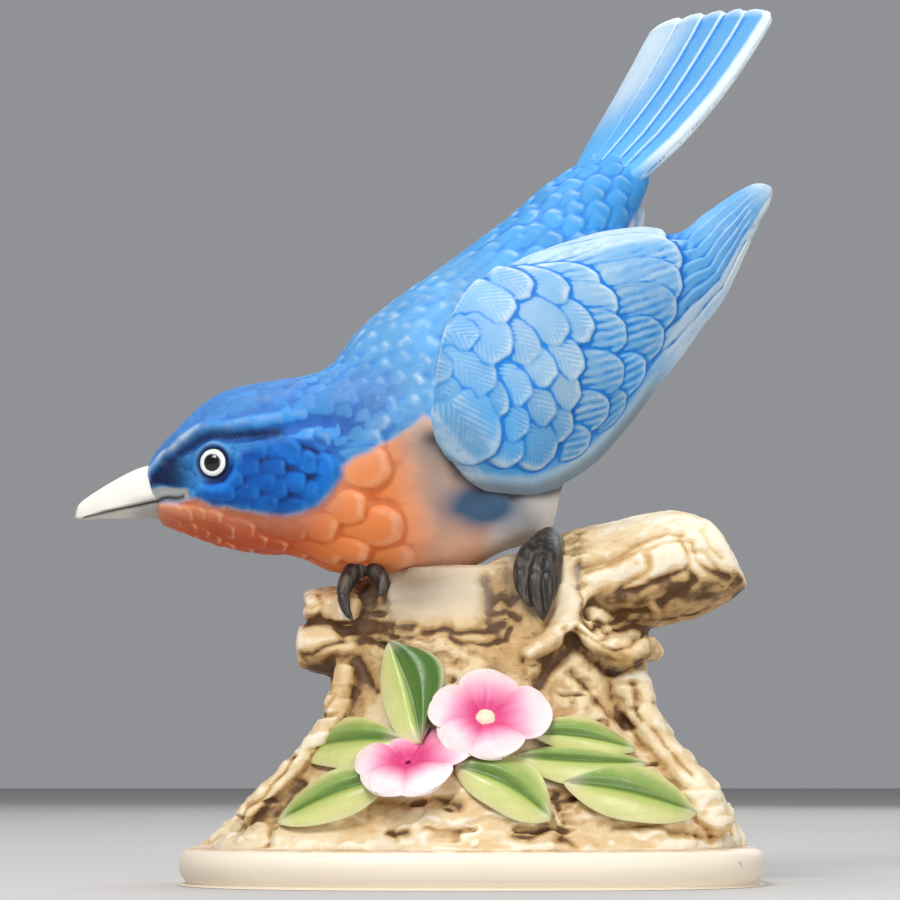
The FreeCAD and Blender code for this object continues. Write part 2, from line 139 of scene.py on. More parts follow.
# Stump outline: height over the plinth; reach left, right, front, back.
STUMP = (
    (0.0, 48.6, 48.8, 31.4, 31.4), (2.0, 46.2, 47.9, 30.4, 30.2),
    (5.0, 42.9, 46.3, 28.8, 28.2), (9.0, 40.0, 44.0, 27.0, 26.0),
    (14.0, 34.0, 40.5, 24.5, 23.5), (19.0, 29.5, 34.5, 22.0, 21.0),
    (25.0, 26.5, 31.5, 18.5, 18.5), (31.0, 25.0, 31.0, 16.5, 16.5),
    (37.0, 25.5, 32.0, 15.5, 15.0), (42.0, 25.0, 29.5, 14.0, 14.0),
    (46.0, 22.5, 26.0, 12.6, 12.8), (49.5, 18.0, 20.5, 10.5, 11.0),
)
PLINTH_TOP = 6.6
PLINTH_HALF = (52.0, 35.0)
PLINTH_OVAL = 2.6  # power of the plinth's oval: 2 is an ellipse, more is squarer
# Leaves: base x, z; tip x, z; bulge above and below the midrib; stand-off; bow; where
# along the leaf the upper and the lower half are widest
LEAVES = (
    (-8.8, 24.0, -14.6, 41.4, 6.6, 5.2, 1.9, 0.9, 0.62, 0.40),
    (-12.0, 24.6, -31.4, 22.4, 4.2, 4.6, 1.3, 1.0, 0.45, 0.45),
    (-13.5, 18.8, -33.6, 10.6, 3.9, 4.4, 1.3, 0.8, 0.45, 0.50),
    (-3.0, 20.2, 13.2, 11.2, 5.6, 4.8, 1.5, 1.4, 0.50, 0.50),
    (10.0, 25.6, 28.4, 22.8, 3.7, 2.6, 1.7, 0.6, 0.40, 0.50),
    (7.5, 21.9, 30.0, 20.6, 2.9, 3.8, 1.3, -0.4, 0.45, 0.45),
    (15.5, 17.4, 38.8, 12.0, 5.4, 4.8, 1.4, 0.9, 0.45, 0.50),
)


# ---- sums on arrays ---------------------------------------------------------------
def smooth(x):
    x = np.clip(x, 0.0, 1.0)
    return x * x * (3 - 2 * x)


def unit(v):
    return v / np.maximum(np.linalg.norm(v, axis=-1, keepdims=True), 1e-9)


def spline(rows, t):
    """A smooth curve through the rows, read at fractional row numbers."""
    rows = np.asarray(rows, float)
    i = np.clip(np.floor(t).astype(int), 0, len(rows) - 2)
    f = (t - i)[..., None]
    ends = np.concatenate([2 * rows[:1] - rows[1:2], rows, 2 * rows[-1:] - rows[-2:-1]])
    a, b, c, d = ends[i], ends[i + 1], ends[i + 2], ends[i + 3]
    return b + 0.5 * f * (c - a + f * (2 * a - 5 * b + 4 * c - d + f * (3 * (b - c) + d - a)))


def hashed(ix, iy, iz, seed):
    n = ix * 374761393 + iy * 668265263 + iz * 1274126177 + seed * 974634777
    n = (n ^ (n >> 13)) * 1274126177
    n = n ^ (n >> 16)
    return (n & 0xFFFFFF) / float(0xFFFFFF)


def value_noise(p, size, seed=0):
    """Smooth noise from -1 to 1 with lumps of a size in millimetres."""
    q = p / size
    i = np.floor(q).astype(np.int64)
    f = smooth(q - i)
    total = np.zeros(len(p))
    for corner in np.ndindex(2, 2, 2):
        weight = np.where(corner, f, 1 - f)
        total += weight[:, 0] * weight[:, 1] * weight[:, 2] * hashed(*(i + corner).T, seed)
    return total * 2 - 1


def layered_noise(p, size, seed=0, rounds=4):
    return sum(value_noise(p, size / 2 ** k, seed + k) / 2 ** k for k in range(rounds)) / 1.9


def cell_borders(p, size, seed):
    """Distance from the border between scattered cells."""
    q = p / np.asarray(size)
    i = np.floor(q).astype(np.int64)
    first = second = np.full(len(p), 9.0)
    for step in np.ndindex(3, 3, 3):
        cell = i + step - 1
        spot = np.stack([hashed(*cell.T, seed + k) for k in range(3)], 1)
        d = np.linalg.norm(cell + 0.15 + 0.7 * spot - q, axis=1)
        closer = d < first
        second = np.where(closer, first, np.minimum(second, d))
        first = np.where(closer, d, first)
    return second - first


def gap_to(line, x, z):
    """Squared distance from a line through points."""
    best = np.full(x.shape, 1e9)
    for (x0, z0), (x1, z1) in zip(line, line[1:]):
        ex, ez = x1 - x0, z1 - z0
        f = np.clip(((x - x0) * ex + (z - z0) * ez) / (ex * ex + ez * ez + 1e-9), 0, 1)
        best = np.minimum(best, (x - x0 - f * ex) ** 2 + (z - z0 - f * ez) ** 2)
    return best


def inside(outline, x, z, soft):
    """1 inside an outline and 0 outside it, blended over a soft edge."""
    ring = (*outline, outline[0])
    odd = np.zeros(x.shape, bool)
    for (x0, z0), (x1, z1) in zip(ring, ring[1:]):
        if z0 != z1:
            odd ^= ((z0 <= z) != (z1 <= z)) & (x < x0 + (z - z0) * (x1 - x0) / (z1 - z0))
    return smooth(0.5 + 0.5 * np.sqrt(gap_to(ring, x, z)) * np.where(odd, 1, -1) / soft)


def dab(x, z, cx, cz, rx, rz, turn=0.0):
    """A soft airbrushed spot."""
    c, s = math.cos(math.radians(turn)), math.sin(math.radians(turn))
    u, v = (x - cx) * c + (z - cz) * s, -(x - cx) * s + (z - cz) * c
    return np.exp(-(u / rx) ** 2 - (v / rz) ** 2)


def near_line(x, z, line, width):
    """1 on a line through points, fading out within about two widths."""
    return np.exp(-gap_to(line, x, z) / width ** 2)


def rounded(gap, reach, least=0.0):
    """A quarter circle that closes an end: small at the end, 1 from a reach away."""
    return np.sqrt(np.clip(1 - (1 - np.minimum(gap / reach, 1)) ** 2, least, 1))


def fuller(wave, power):
    """A wave with its rounds made fuller and its sign kept."""
    return np.sign(wave) * np.abs(wave) ** power


# ---- meshes -----------------------------------------------------------------------
def read(mesh, what="co"):
    out = np.empty(len(mesh.vertices) * 3)
    mesh.vertices.foreach_get(what, out)
    return out.reshape(-1, 3)


def write(mesh, points):
    mesh.vertices.foreach_set("co", np.ascontiguousarray(points, float).ravel())
    mesh.update()


def read_value(mesh, name):
    out = np.empty(len(mesh.vertices), np.float32)
    mesh.attributes[name].data.foreach_get("value", out)
    return out.astype(float)


def mark(mesh, **zones):
    """Stores a number for each point under each zone's name."""
    for name, values in zones.items():
        data = mesh.attributes.get(name) or mesh.attributes.new(name, "FLOAT", "POINT")
        spread = np.broadcast_to(np.asarray(values, np.float32), len(mesh.vertices))
        data.data.foreach_set("value", np.ascontiguousarray(spread))


def poured(form, mesh):
    """Fills a mesh from a working form and lets the form go."""
    form.to_mesh(mesh)
    form.free()
    return mesh


def add_object(name, mesh):
    piece = bpy.data.objects.new(name, mesh)
    bpy.context.scene.collection.objects.link(piece)
    return piece


def skin(name, along, around, place):
    """A grid bent into place by place(u, v) and welded into a closed tube."""
    bm = bmesh.new()
    bmesh.ops.create_grid(bm, x_segments=along, y_segments=around, size=0.5)
    mesh = poured(bm, bpy.data.meshes.new(name))
    u, v = (read(mesh)[:, :2] + 0.5).T
    write(mesh, place(u, v) * MM)
    mark(mesh, u=u, v=v)
    weld(mesh, caps=True)
    return mesh


def weld(mesh, caps=False):
    """Joins loose seams, closes the ends and turns all faces outward."""
    bm = bmesh.new()
    bm.from_mesh(mesh)
    bmesh.ops.remove_doubles(bm, verts=bm.verts, dist=SEAM_GAP)
    if caps:
        bmesh.ops.holes_fill(bm, edges=[e for e in bm.edges if e.is_boundary])
        bmesh.ops.triangulate(bm, faces=[f for f in bm.faces if len(f.verts) > 4])
    bmesh.ops.recalc_face_normals(bm, faces=bm.faces)
    poured(bm, mesh)
    for face in mesh.polygons:
        face.use_smooth = True
    mesh.update()


def merged(name, parts, voxel, rounds=2):
    """Several closed forms run together into one clay-like skin."""
    bm = bmesh.new()
    for part in parts:
        bm.from_mesh(part)
        bpy.data.meshes.remove(part)
    piece = add_object(name, poured(bm, bpy.data.meshes.new(name)))
    remesh = piece.modifiers.new("Clay", "REMESH")
    remesh.mode = "VOXEL"
    remesh.voxel_size = voxel * MM
    graph = bpy.context.evaluated_depsgraph_get()
    out = bpy.data.meshes.new_from_object(piece.evaluated_get(graph))
    piece.modifiers.clear()
    piece.data = out
    out.name = name
    weld(out)
    write(out, relaxed(out, rounds))
    return piece


def edges_of(mesh):
    out = np.empty(len(mesh.edges) * 2, np.int32)
    mesh.edges.foreach_get("vertices", out)
    return out.reshape(-1, 2)


def relaxed(mesh, rounds, values=None, edges=None):
    """Vertex places, or other values, averaged over their neighbours."""
    e = edges_of(mesh) if edges is None else edges
    p = read(mesh) if values is None else values.reshape(len(mesh.vertices), -1)
    n = len(mesh.vertices)
    count = np.maximum(np.bincount(e.ravel(), minlength=n), 1)[:, None]
    for _ in range(rounds):
        total = np.stack([np.bincount(e[:, 0], p[e[:, 1], k], n)
                          + np.bincount(e[:, 1], p[e[:, 0], k], n)
                          for k in range(p.shape[1])], 1)
        p = 0.4 * p + 0.6 * total / count
    return p


def mark_hollows(mesh, fine=5, broad=45):
    """Stores how deep each point lies in small and in wide hollows of the surface."""
    e = edges_of(mesh)
    p, n = read(mesh) / MM, read(mesh, "normal")
    near = relaxed(mesh, fine, p, e)
    far = relaxed(mesh, broad, near, e)
    mark(mesh, crease=np.einsum("ij,ij->i", near - p, n), hollow=np.einsum("ij,ij->i", far - p, n))


class Plumage:
    """Overlapping feathers laid on a surface, remembered as height and barb lines."""

    def __init__(self, points, normals):
        self.p, self.n = points, normals
        self.height = np.zeros(len(points))
        self.barb = np.zeros(len(points))
        self.shade = np.full(len(points), 0.5)
        self.fade = np.zeros(len(points))
        self.owner = np.zeros(len(points), int)
        self.edge = np.full(len(points), 9.0)
        self.count = 0
        self.rand = np.random.default_rng(7)

    def lay(self, tip, run, normal, length, width, lift, dome, base=0.0, lean=0.0,
            soft=0.45, round_end=1.0, bend=0.0, streaks=False):
        d = self.p - tip
        reach = 1.1 * max(length, width)
        k = np.flatnonzero((np.einsum("ij,ij->i", d, d) < reach ** 2)
                           & (self.n @ normal > -0.1))
        if not len(k):
            return
        run = unit(run - normal * (run @ normal))
        side = np.cross(normal, run)
        x, y = -(d[k] @ run), d[k] @ side
        y = y - bend * (x / length) ** 2 * width
        f = x / length
        tipped = np.clip(x / (0.5 * width * round_end), 0, 1)
        half = 0.5 * width * np.sqrt(np.clip(1 - (1 - tipped) ** 2, 0, 1))
        edge = np.minimum(half - np.abs(y), x)
        shape = smooth(0.22 + 0.78 * edge / soft) * smooth((1 - f) / 0.35)
        rise = lift * (1 - 0.8 * np.clip(f, 0, 1)) + dome * (1 - (2 * y / width) ** 2)
        h = (base + rise + lean * 2 * y / width) * shape
        win = (h > self.height[k]) & (edge > 0)
        k, h, x, y = k[win], h[win], x[win], y[win]
        self.count += 1
        self.height[k] = h
        self.owner[k] = self.count
        self.barb[k] = y * 0.9 + x * 0.12 if streaks else x + 1.5 * np.abs(y)
        self.fade[k] = smooth(edge[win] / 0.9) * (0.9 if streaks else 0.38)
        self.edge[k] = edge[win]
        self.shade[k] = self.rand.random()

    def store(self, mesh, rounds=2, ribs=0.0):
        e = edges_of(mesh)
        torn = e[self.owner[e[:, 0]] != self.owner[e[:, 1]]].ravel()
        calm = np.ones(len(self.p))
        calm[torn] = 0
        near = e[calm[e[:, 0]] * calm[e[:, 1]] == 0].ravel()
        rim = np.exp(-(self.edge / 0.5) ** 2)
        notch = (1 - calm) * smooth((self.edge - 0.35) / 0.3)
        paint = relaxed(mesh, 1, np.stack([rim, notch], 1), e)
        soft = relaxed(mesh, 2, np.stack([self.fade, self.shade], 1), e)
        fade = soft[:, 0]
        fade[near] *= 0.4
        fade[torn] = 0
        self.height = relaxed(mesh, rounds, self.height, e)[:, 0]
        self.barb += 0.22 * value_noise(self.p, 2.2, 61) + 0.35 * value_noise(self.p, 7.0, 62)
        fade *= np.clip(0.65 + 0.7 * value_noise(self.p, 4.0, 63), 0.1, 1.2)
        self.height += ribs * fade * np.sin(self.barb * 4.6)
        write(mesh, (self.p + self.n * self.height[:, None]) * MM)
        mark(mesh, barb=self.barb, barb_fade=fade, feather_shade=soft[:, 1], rim=paint[:, 0],
             notch=paint[:, 1])


def tube(name, path, around=20, along=40, squash=1.0):
    """A tapering round form along points of x, y, z and radius, with rounded ends."""
    rows = np.asarray(path, float)

    def place(u, v):
        t = u * (len(rows) - 1)
        here = spline(rows, t)
        e = 1e-3
        run = unit(spline(rows[:, :3], np.minimum(t + e, len(rows) - 1))
                   - spline(rows[:, :3], np.maximum(t - e, 0)))
        side = unit(np.cross(run, np.where(np.abs(run[:, 2:3]) > 0.9, (0, 1, 0), (0, 0, 1))))
        top = np.cross(side, run)
        cap = rounded(np.minimum(u, 1 - u), 0.06)
        r = (here[:, 3] * np.maximum(cap, 0.02))[:, None]
        a = 2 * np.pi * v[:, None]
        return here[:, :3] + side * np.cos(a) * r + top * np.sin(a) * r * squash

    return skin(name, along, around, place)


# ---- materials --------------------------------------------------------------------
class Paint:
    """Short hand for a node material."""

    def __init__(self, name):
        self.material = bpy.data.materials.get(name) or bpy.data.materials.new(name)
        self.material.use_nodes = True
        self.nodes = self.material.node_tree.nodes
        self.links = self.material.node_tree.links
        self.shader = self.nodes["Principled BSDF"]
        self.where = self.nodes.new("ShaderNodeTexCoord").outputs["Object"]

    def put(self, socket, value):
        if isinstance(value, bpy.types.NodeSocket):
            self.links.new(value, socket)
        elif hasattr(value, "__len__") and len(value) == 3 and socket.type == "RGBA":
            socket.default_value = (*value, 1)
        else:
            socket.default_value = value

    def value(self, name):
        node = self.nodes.new("ShaderNodeAttribute")
        node.attribute_name = name
        return node.outputs["Fac"]

    def maths(self, kind, a, b=0.0, c=0.0, clamp=False):
        node = self.nodes.new("ShaderNodeMath")
        node.operation, node.use_clamp = kind, clamp
        for socket, v in zip(node.inputs, (a, b, c)):
            self.put(socket, v)
        return node.outputs[0]

    def times(self, a, b):
        return self.maths("MULTIPLY", a, b)

    def plus(self, a, b, clamp=False):
        return self.maths("ADD", a, b, clamp=clamp)

    def span(self, v, low, high, to_low=0.0, to_high=1.0):
        node = self.nodes.new("ShaderNodeMapRange")
        node.interpolation_type = "SMOOTHSTEP"
        for socket, x in zip(node.inputs, (v, low, high, to_low, to_high)):
            self.put(socket, x)
        return node.outputs["Result"]

    def mix(self, amount, a, b, kind="MIX"):
        node = self.nodes.new("ShaderNodeMix")
        node.data_type, node.blend_type = "RGBA", kind
        self.put(node.inputs["Factor"], amount)
        self.put(node.inputs[6], a)
        self.put(node.inputs[7], b)
        return node.outputs[2]

    def wash(self, tone, colour, zone, strength=1.0):
        """Lays a colour over a tone in a marked zone, as strongly as a number or mask says."""
        return self.mix(self.times(self.value(zone), strength), tone, colour)

    def noise(self, size_mm, detail=4.0, rough=0.6, stretch=None, distort=0.0):
        node = self.nodes.new("ShaderNodeTexNoise")
        where = self.where
        if stretch:
            turn = self.nodes.new("ShaderNodeMapping")
            turn.inputs["Scale"].default_value = stretch
            self.links.new(where, turn.inputs["Vector"])
            where = turn.outputs["Vector"]
        self.links.new(where, node.inputs["Vector"])
        node.inputs["Scale"].default_value = 1 / (size_mm * MM)
        node.inputs["Detail"].default_value = detail
        node.inputs["Roughness"].default_value = rough
        node.inputs["Distortion"].default_value = distort
        return node.outputs["Fac"]

    def bump(self, height, depth_mm, before=None, strength=1.0):
        node = self.nodes.new("ShaderNodeBump")
        node.inputs["Distance"].default_value = depth_mm * MM
        node.inputs["Strength"].default_value = strength
        self.links.new(height, node.inputs["Height"])
        if before is not None:
            self.links.new(before, node.inputs["Normal"])
        return node.outputs["Normal"]

    def finish(self, colour, rough, normal=None, specular=0.35, coat=0.0, coat_rough=0.2):
        s = self.shader
        self.put(s.inputs["Base Color"], colour)
        self.put(s.inputs["Roughness"], rough)
        s.inputs["Specular IOR Level"].default_value = specular
        s.inputs["Coat Weight"].default_value = coat
        s.inputs["Coat Roughness"].default_value = coat_rough
        if normal is not None:
            self.links.new(normal, s.inputs["Normal"])
        return self.material


def settle(piece, material, slot, *nodes):
    """Gives a finished piece its material, hangs it under the root body and hides the imported parts that
    it stands for.
    """
    piece.data.materials.clear()
    piece.data.materials.append(material)
    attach(piece, "root")
    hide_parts(*nodes)
    return piece


# ---- what a user may change -------------------------------------------------------
def colour(name, text, value):
    return FloatVectorProperty(name=name, description=text, subtype="COLOR", size=3,
                               min=0.0, max=1.0, default=value)


def length(name, text, mm):
    return FloatProperty(name=name, description=text, unit="LENGTH", default=mm * MM,
                         min=0.0, precision=5)


class FigurineSizes(bpy.types.PropertyGroup):
    feather_lift: length("Feather lift", "How far a body feather's tip stands up", 0.50)
    wing_lift: length("Wing feather lift", "How far a wing feather's tip stands up", 0.62)
    bark_depth: length("Bark depth", "Depth of the grooves between plates of bark", BARK_DEPTH)
    leaf_thick: length("Leaf thickness", "Thickness of a leaf at its midrib", 1.7)
    petal_thick: length("Petal thickness", "Thickness of a petal near its throat", 1.5)
    petal_ruffle: length("Petal ruffle", "Height of the waves in a petal's edge", 0.7)


class FigurineColours(bpy.types.PropertyGroup):
    sky: colour("Sky blue", "Back, wing and tail", (0.085, 0.300, 0.580))
    deep: colour("Deep blue", "Blue wash that lies in the hollows", (0.006, 0.180, 0.590))
    cheek: colour("Cheek blue", "Saturated blue of the cheek", (0.001, 0.062, 0.320))
    navy: colour("Navy", "Stripe through the eye", (0.002, 0.010, 0.055))
    crown: colour("Crown", "Dusty violet blue of the crown and nape", (0.045, 0.130, 0.400))
    pale: colour("Rubbed white", "Pale bisque on the high points", (0.660, 0.740, 0.770))
    stone: colour("Stone grey", "Warm grey on the domed covert feathers", (0.350, 0.490, 0.590))
    orange: colour("Orange", "Breast", (0.860, 0.260, 0.075))
    rust: colour("Rust", "Throat and the hollows of the breast", (0.480, 0.068, 0.012))
    peach: colour("Peach", "Lower breast and belly", (0.760, 0.460, 0.320))
    flank: colour("Flank", "Bare porcelain of the flank and vent", (0.920, 0.860, 0.810))
    ivory: colour("Ivory", "High points of the bark", (0.800, 0.650, 0.410))
    tan: colour("Tan", "Wash over the bark", (0.500, 0.305, 0.120))
    brown: colour("Brown", "Deepest grooves of the bark", (0.095, 0.042, 0.013))
    cream: colour("Cream", "Plinth", (0.850, 0.750, 0.610))
    charcoal: colour("Charcoal", "Feet", (0.019, 0.016, 0.013))
    leaf_dark: colour("Leaf green", "Shaded part of a leaf", (0.050, 0.135, 0.020))
    leaf_light: colour("Leaf yellow green", "Outer part of a leaf", (0.700, 0.690, 0.290))
    petal_deep: colour("Magenta", "Throat of a petal", (0.660, 0.050, 0.200))
    petal_pale: colour("Petal pink", "Edge of a petal", (0.930, 0.710, 0.720))
    button: colour("Button", "Middle of the blossom", (0.880, 0.800, 0.600))


def sizes():
    return bpy.context.scene.figurine_sizes


def hues():
    return bpy.context.scene.figurine_colours


# ---- the bird's body --------------------------------------------------------------
def body_axes(t):
    """The section at t, with its axes up and toward the bird's left side."""
    row = spline(BODY, t)
    pitch, yaw, roll = (np.radians(row[:, k]) for k in (3, 4, 5))
    one, zero = np.ones(len(t)), np.zeros(len(t))
    run = unit(np.stack([one, np.tan(yaw), np.tan(pitch)], 1))
    near = np.stack([np.sin(yaw), -np.cos(yaw), zero], 1)
    up = np.cross(near, run)
    c, s = np.cos(roll)[:, None], np.sin(roll)[:, None]
    return row, up * c + near * s, near * c - up * s


def body_point(t, turn):
    """A point on the bird: t along its sections, turn from the back to its left side."""
    row, up, near = body_axes(t)
    c, s = np.cos(turn), np.sin(turn)
    tall = np.where(c > 0, row[:, 7], row[:, 8])
    return row[:, :3] + up * (tall * c)[:, None] + near * (row[:, 6] * s)[:, None]


BODY_ROWS = len(BODY) - 1
# Where the eyes sit: place along the body's sections, and turn from its back.
EYE_T, EYE_TURN = 2.71, math.radians(82.0)


def body_normal(t, turn):
    e = 0.01
    a = body_point(np.minimum(t + e, BODY_ROWS), turn) - body_point(np.maximum(t - e, 0), turn)
    b = body_point(t, turn + e) - body_point(t, turn - e)
    return unit(np.cross(b, a)), unit(a)


def folded(t, turn):
    """The right side folded onto the left: turn from the back, and the place there."""
    side = np.arccos(np.clip(np.cos(turn), -1, 1))
    return side, body_point(t, side)


def from_eyes(points):
    """Distance from the middle of the left and of the right eye."""
    for direction in (1, -1):
        eye = body_point(np.array([EYE_T]), np.array([direction * EYE_TURN]))[0]
        yield np.linalg.norm(points - eye, axis=1)


def feather_body(plumage, lift):
    """Rows of feathers from the face to the rump: small above, broad scallops below."""
    rand = np.random.default_rng(3)
    spots = np.linspace(0, BODY_ROWS, 400)
    middle = spline(np.asarray(BODY)[:, :3], spots)
    gone = np.concatenate([[0], np.cumsum(np.linalg.norm(np.diff(middle, axis=0), axis=1))])
    for under, widths in ((False, (2.5, 3.3, 4.2, 4.9, 5.3, 5.4, 4.8, 4.4)),
                          (True, (2.8, 3.9, 5.6, 7.4, 7.6, 7.4, 6.0, 5.0))):
        place, row_number = 3.0, 0
        while place < gone[-1] - 1.0:
            t = float(np.interp(place, gone, spots))
            section = spline(BODY, np.array([t]))[0]
            girth = math.pi * (section[6] + 0.5 * (section[7] + section[8]))
            wide = float(np.interp(t, (0, 2, 4, 6, 8, 10, 12, 14), widths))
            count = max(6, int(girth / wide))
            for k in range(count):
                turn = 2 * math.pi * (k + 0.5 * (row_number % 2) + rand.uniform(-0.20, 0.20)) / count
                here_t = np.array([min(t + rand.uniform(-0.08, 0.08), BODY_ROWS)])
                here = np.array([turn])
                tip = body_point(here_t, here)[0]
                normal, run = (v[0] for v in body_normal(here_t, here))
                below = 0.5 - 0.5 * math.cos(turn)
                spot = body_point(here_t, np.arccos(np.cos(here)))
                x, z = spot[:, 0], spot[:, 2]
                if (inside(UNDERSIDE, x, z, 1.0)[0] > 0.5) != under:
                    continue
                # bare belly and vent, combed crown, soft back, raised cheek, breast and rump
                calm = 0.80
                calm += 0.75 * inside(ORANGE, x, z, 3.0)[0] + 0.70 * inside(CHEEK, x, z, 2.0)[0]
                calm += 0.5 * float(under) * float(smooth((4.6 - t) / 1.5))
                calm += 0.70 * float(smooth((t - 9.6) / 1.4)) * float(smooth((0.72 - below) / 0.2))
                calm *= 1 - 0.85 * inside(UNDERSIDE, x, z, 4.0)[0] * (1 - inside(ORANGE, x, z, 6.0)[0])
                calm *= 1 - 0.60 * float(smooth((4.9 - t) / 1.6) * smooth((0.42 - below) / 0.2))
                calm *= 1 - 0.5 * float(smooth((1.6 - t) / 1.0))
                size = wide * rand.uniform(1.0, 1.3)
                plumage.lay(tip, run, normal, size * 1.7, size, lift * calm, 0.55 * lift * calm,
                            soft=0.13 * size + 0.30)
            place += wide * 0.56
            row_number += 1


def sculpt_body(plumage, t, turn):
    """Raises the cheek, brow and thigh and presses in the mouth, eyes and nape."""
    side, flat = folded(t, turn)
    x, z = flat[:, 0], flat[:, 2]
    above = 1 - inside(UNDERSIDE, x, z, 2.0)
    height = plumage.height
    height += 0.85 * inside(CHEEK, x, z, 0.9) - 0.15 * inside(EYE_STRIPE, x, z, 0.8)
    height -= 0.45 * near_line(x, z, ((-58, 66.9), (-54.5, 67.3), (-50.9, 68.1)), 0.42)
    brow = near_line(x, z, ((-57.0, 71.6), (-54.1, 75.0), (-51.3, 77.6), (-47.0, 79.6),
                            (-41.0, 80.4), (-34.0, 80.6)), 1.3)
    height += 0.55 * brow - 0.45 * near_line(
        x, z, ((-53.5, 74.0), (-50.5, 76.0), (-46.5, 77.6), (-42.0, 77.6), (-36.5, 78.0)), 0.9)
    height *= 1 - 0.8 * inside(GAPE, x, z, 0.6)
    for far in from_eyes(plumage.p):
        calm = smooth((4.4 - far) / 1.2)
        height = height * (1 - calm) + calm * 0.45 * smooth((far - 2.4) / 0.7)
    # furrows combed back from the crown over the nape
    comb = smooth((1.75 - side) / 0.5) * smooth((t - 2.2) / 0.8) * smooth((7.6 - t) / 1.2) * above
    groove = np.sin(side * 13 + 3.4 * value_noise(flat, 7.0, 21) + t * 1.7)
    height += (0.13 + 0.30 * dab(x, z, -27, 79.5, 13, 5.0, 10)) * comb * groove
    height += 0.20 * layered_noise(flat, 5.0, 90, 3) * above
    # the near thigh swells out over the top of the foot
    height += 3.6 * dab(x, z, 13.0, 63.4, 5.2, 5.6, -30) * smooth((np.sin(turn) + 0.55) / 0.6)
    plumage.height = height * smooth(t / 0.5)


def body_zones(mesh, t, turn):
    """Soft airbrushed areas, and painted shadow under the wing and under the brow, the same on both sides
    of the bird.
    """
    side, flat = folded(t, turn)
    x, z = flat[:, 0] + 0.5 * value_noise(flat, 3.0, 5), flat[:, 2] + 0.5 * value_noise(flat, 3.0, 9)
    under = inside(UNDERSIDE, x, z, 0.7)
    zones = {
        "cheek": inside(CHEEK, x, z, 0.6),
        # navy band through the eye, and a painted shadow line in the groove under the brow above the eye
        "stripe_and_brow_shadow": np.maximum(inside(EYE_STRIPE, x, z, 0.8) * (0.25 + 0.75 * smooth((-47.5 - x) / 6)),
                             0.9 * near_line(x, z, ((-51.5, 75.6), (-47.5, 77.9), (-43.0, 78.2),
                                                    (-38.0, 78.2), (-34.0, 78.4)), 1.25)),
        "gape": inside(GAPE, x, z, 0.35),
        "under": under,
        "breast": inside(ORANGE, x, z, 5.5) ** 0.8 * under,
        "rust": under * np.maximum(smooth((67.5 - z + 0.14 * (x + 56)) / 6.5) * smooth((-20 - x) / 16),
                                   dab(x, z, -52, 64.5, 7, 2.6)),
        "flank": smooth((x - 0.5) / 5.5),
        "smoke": under * np.clip(0.8 * dab(x, z, -8.6, 77.5, 4.2, 4.6)
                                 + 0.7 * dab(x, z, -6.2, 71.0, 3.4, 6.0), 0, 1),
        "blue_spot": np.clip(1.5 * dab(x, z, 2.0, 66.8, 6.4, 3.6, 6), 0, 1) * under,
        # painted shadow of the wing on the body: a dark line along the wing's lower edge
        "shadow_under_wing": under * near_line(x, z, WING_SHADOW, 1.4 - 0.6 * smooth((x - 1) / 5)),
        "rich": smooth((t - 9.2) / 1.4),
        "crown": smooth((1.05 - side) / 0.35) * smooth((6.3 - t) / 1.2) * (1 - under),
        "nape": dab(x, z, -18.5, 86.0, 6.5, 5.5),
        "mouth": near_line(x, z, ((-58, 66.8), (-54.5, 67.3), (-50.9, 68.1)), 0.34),
        "pale_line": near_line(x, z, ((-56.6, 72.6), (-54.1, 74.9), (-51.3, 77.4), (-47.9, 79.7)), 0.5)
        * (0.55 + 0.45 * value_noise(flat, 1.6, 77)),
        "furrow": dab(x, z, -24.0, 79.5, 11.0, 4.5, 12) * (1 - under),
        "eye_ring": smooth((3.5 - np.minimum(*from_eyes(body_point(t, turn)))) / 0.8),
    }
    mark(mesh, **zones)
    return zones


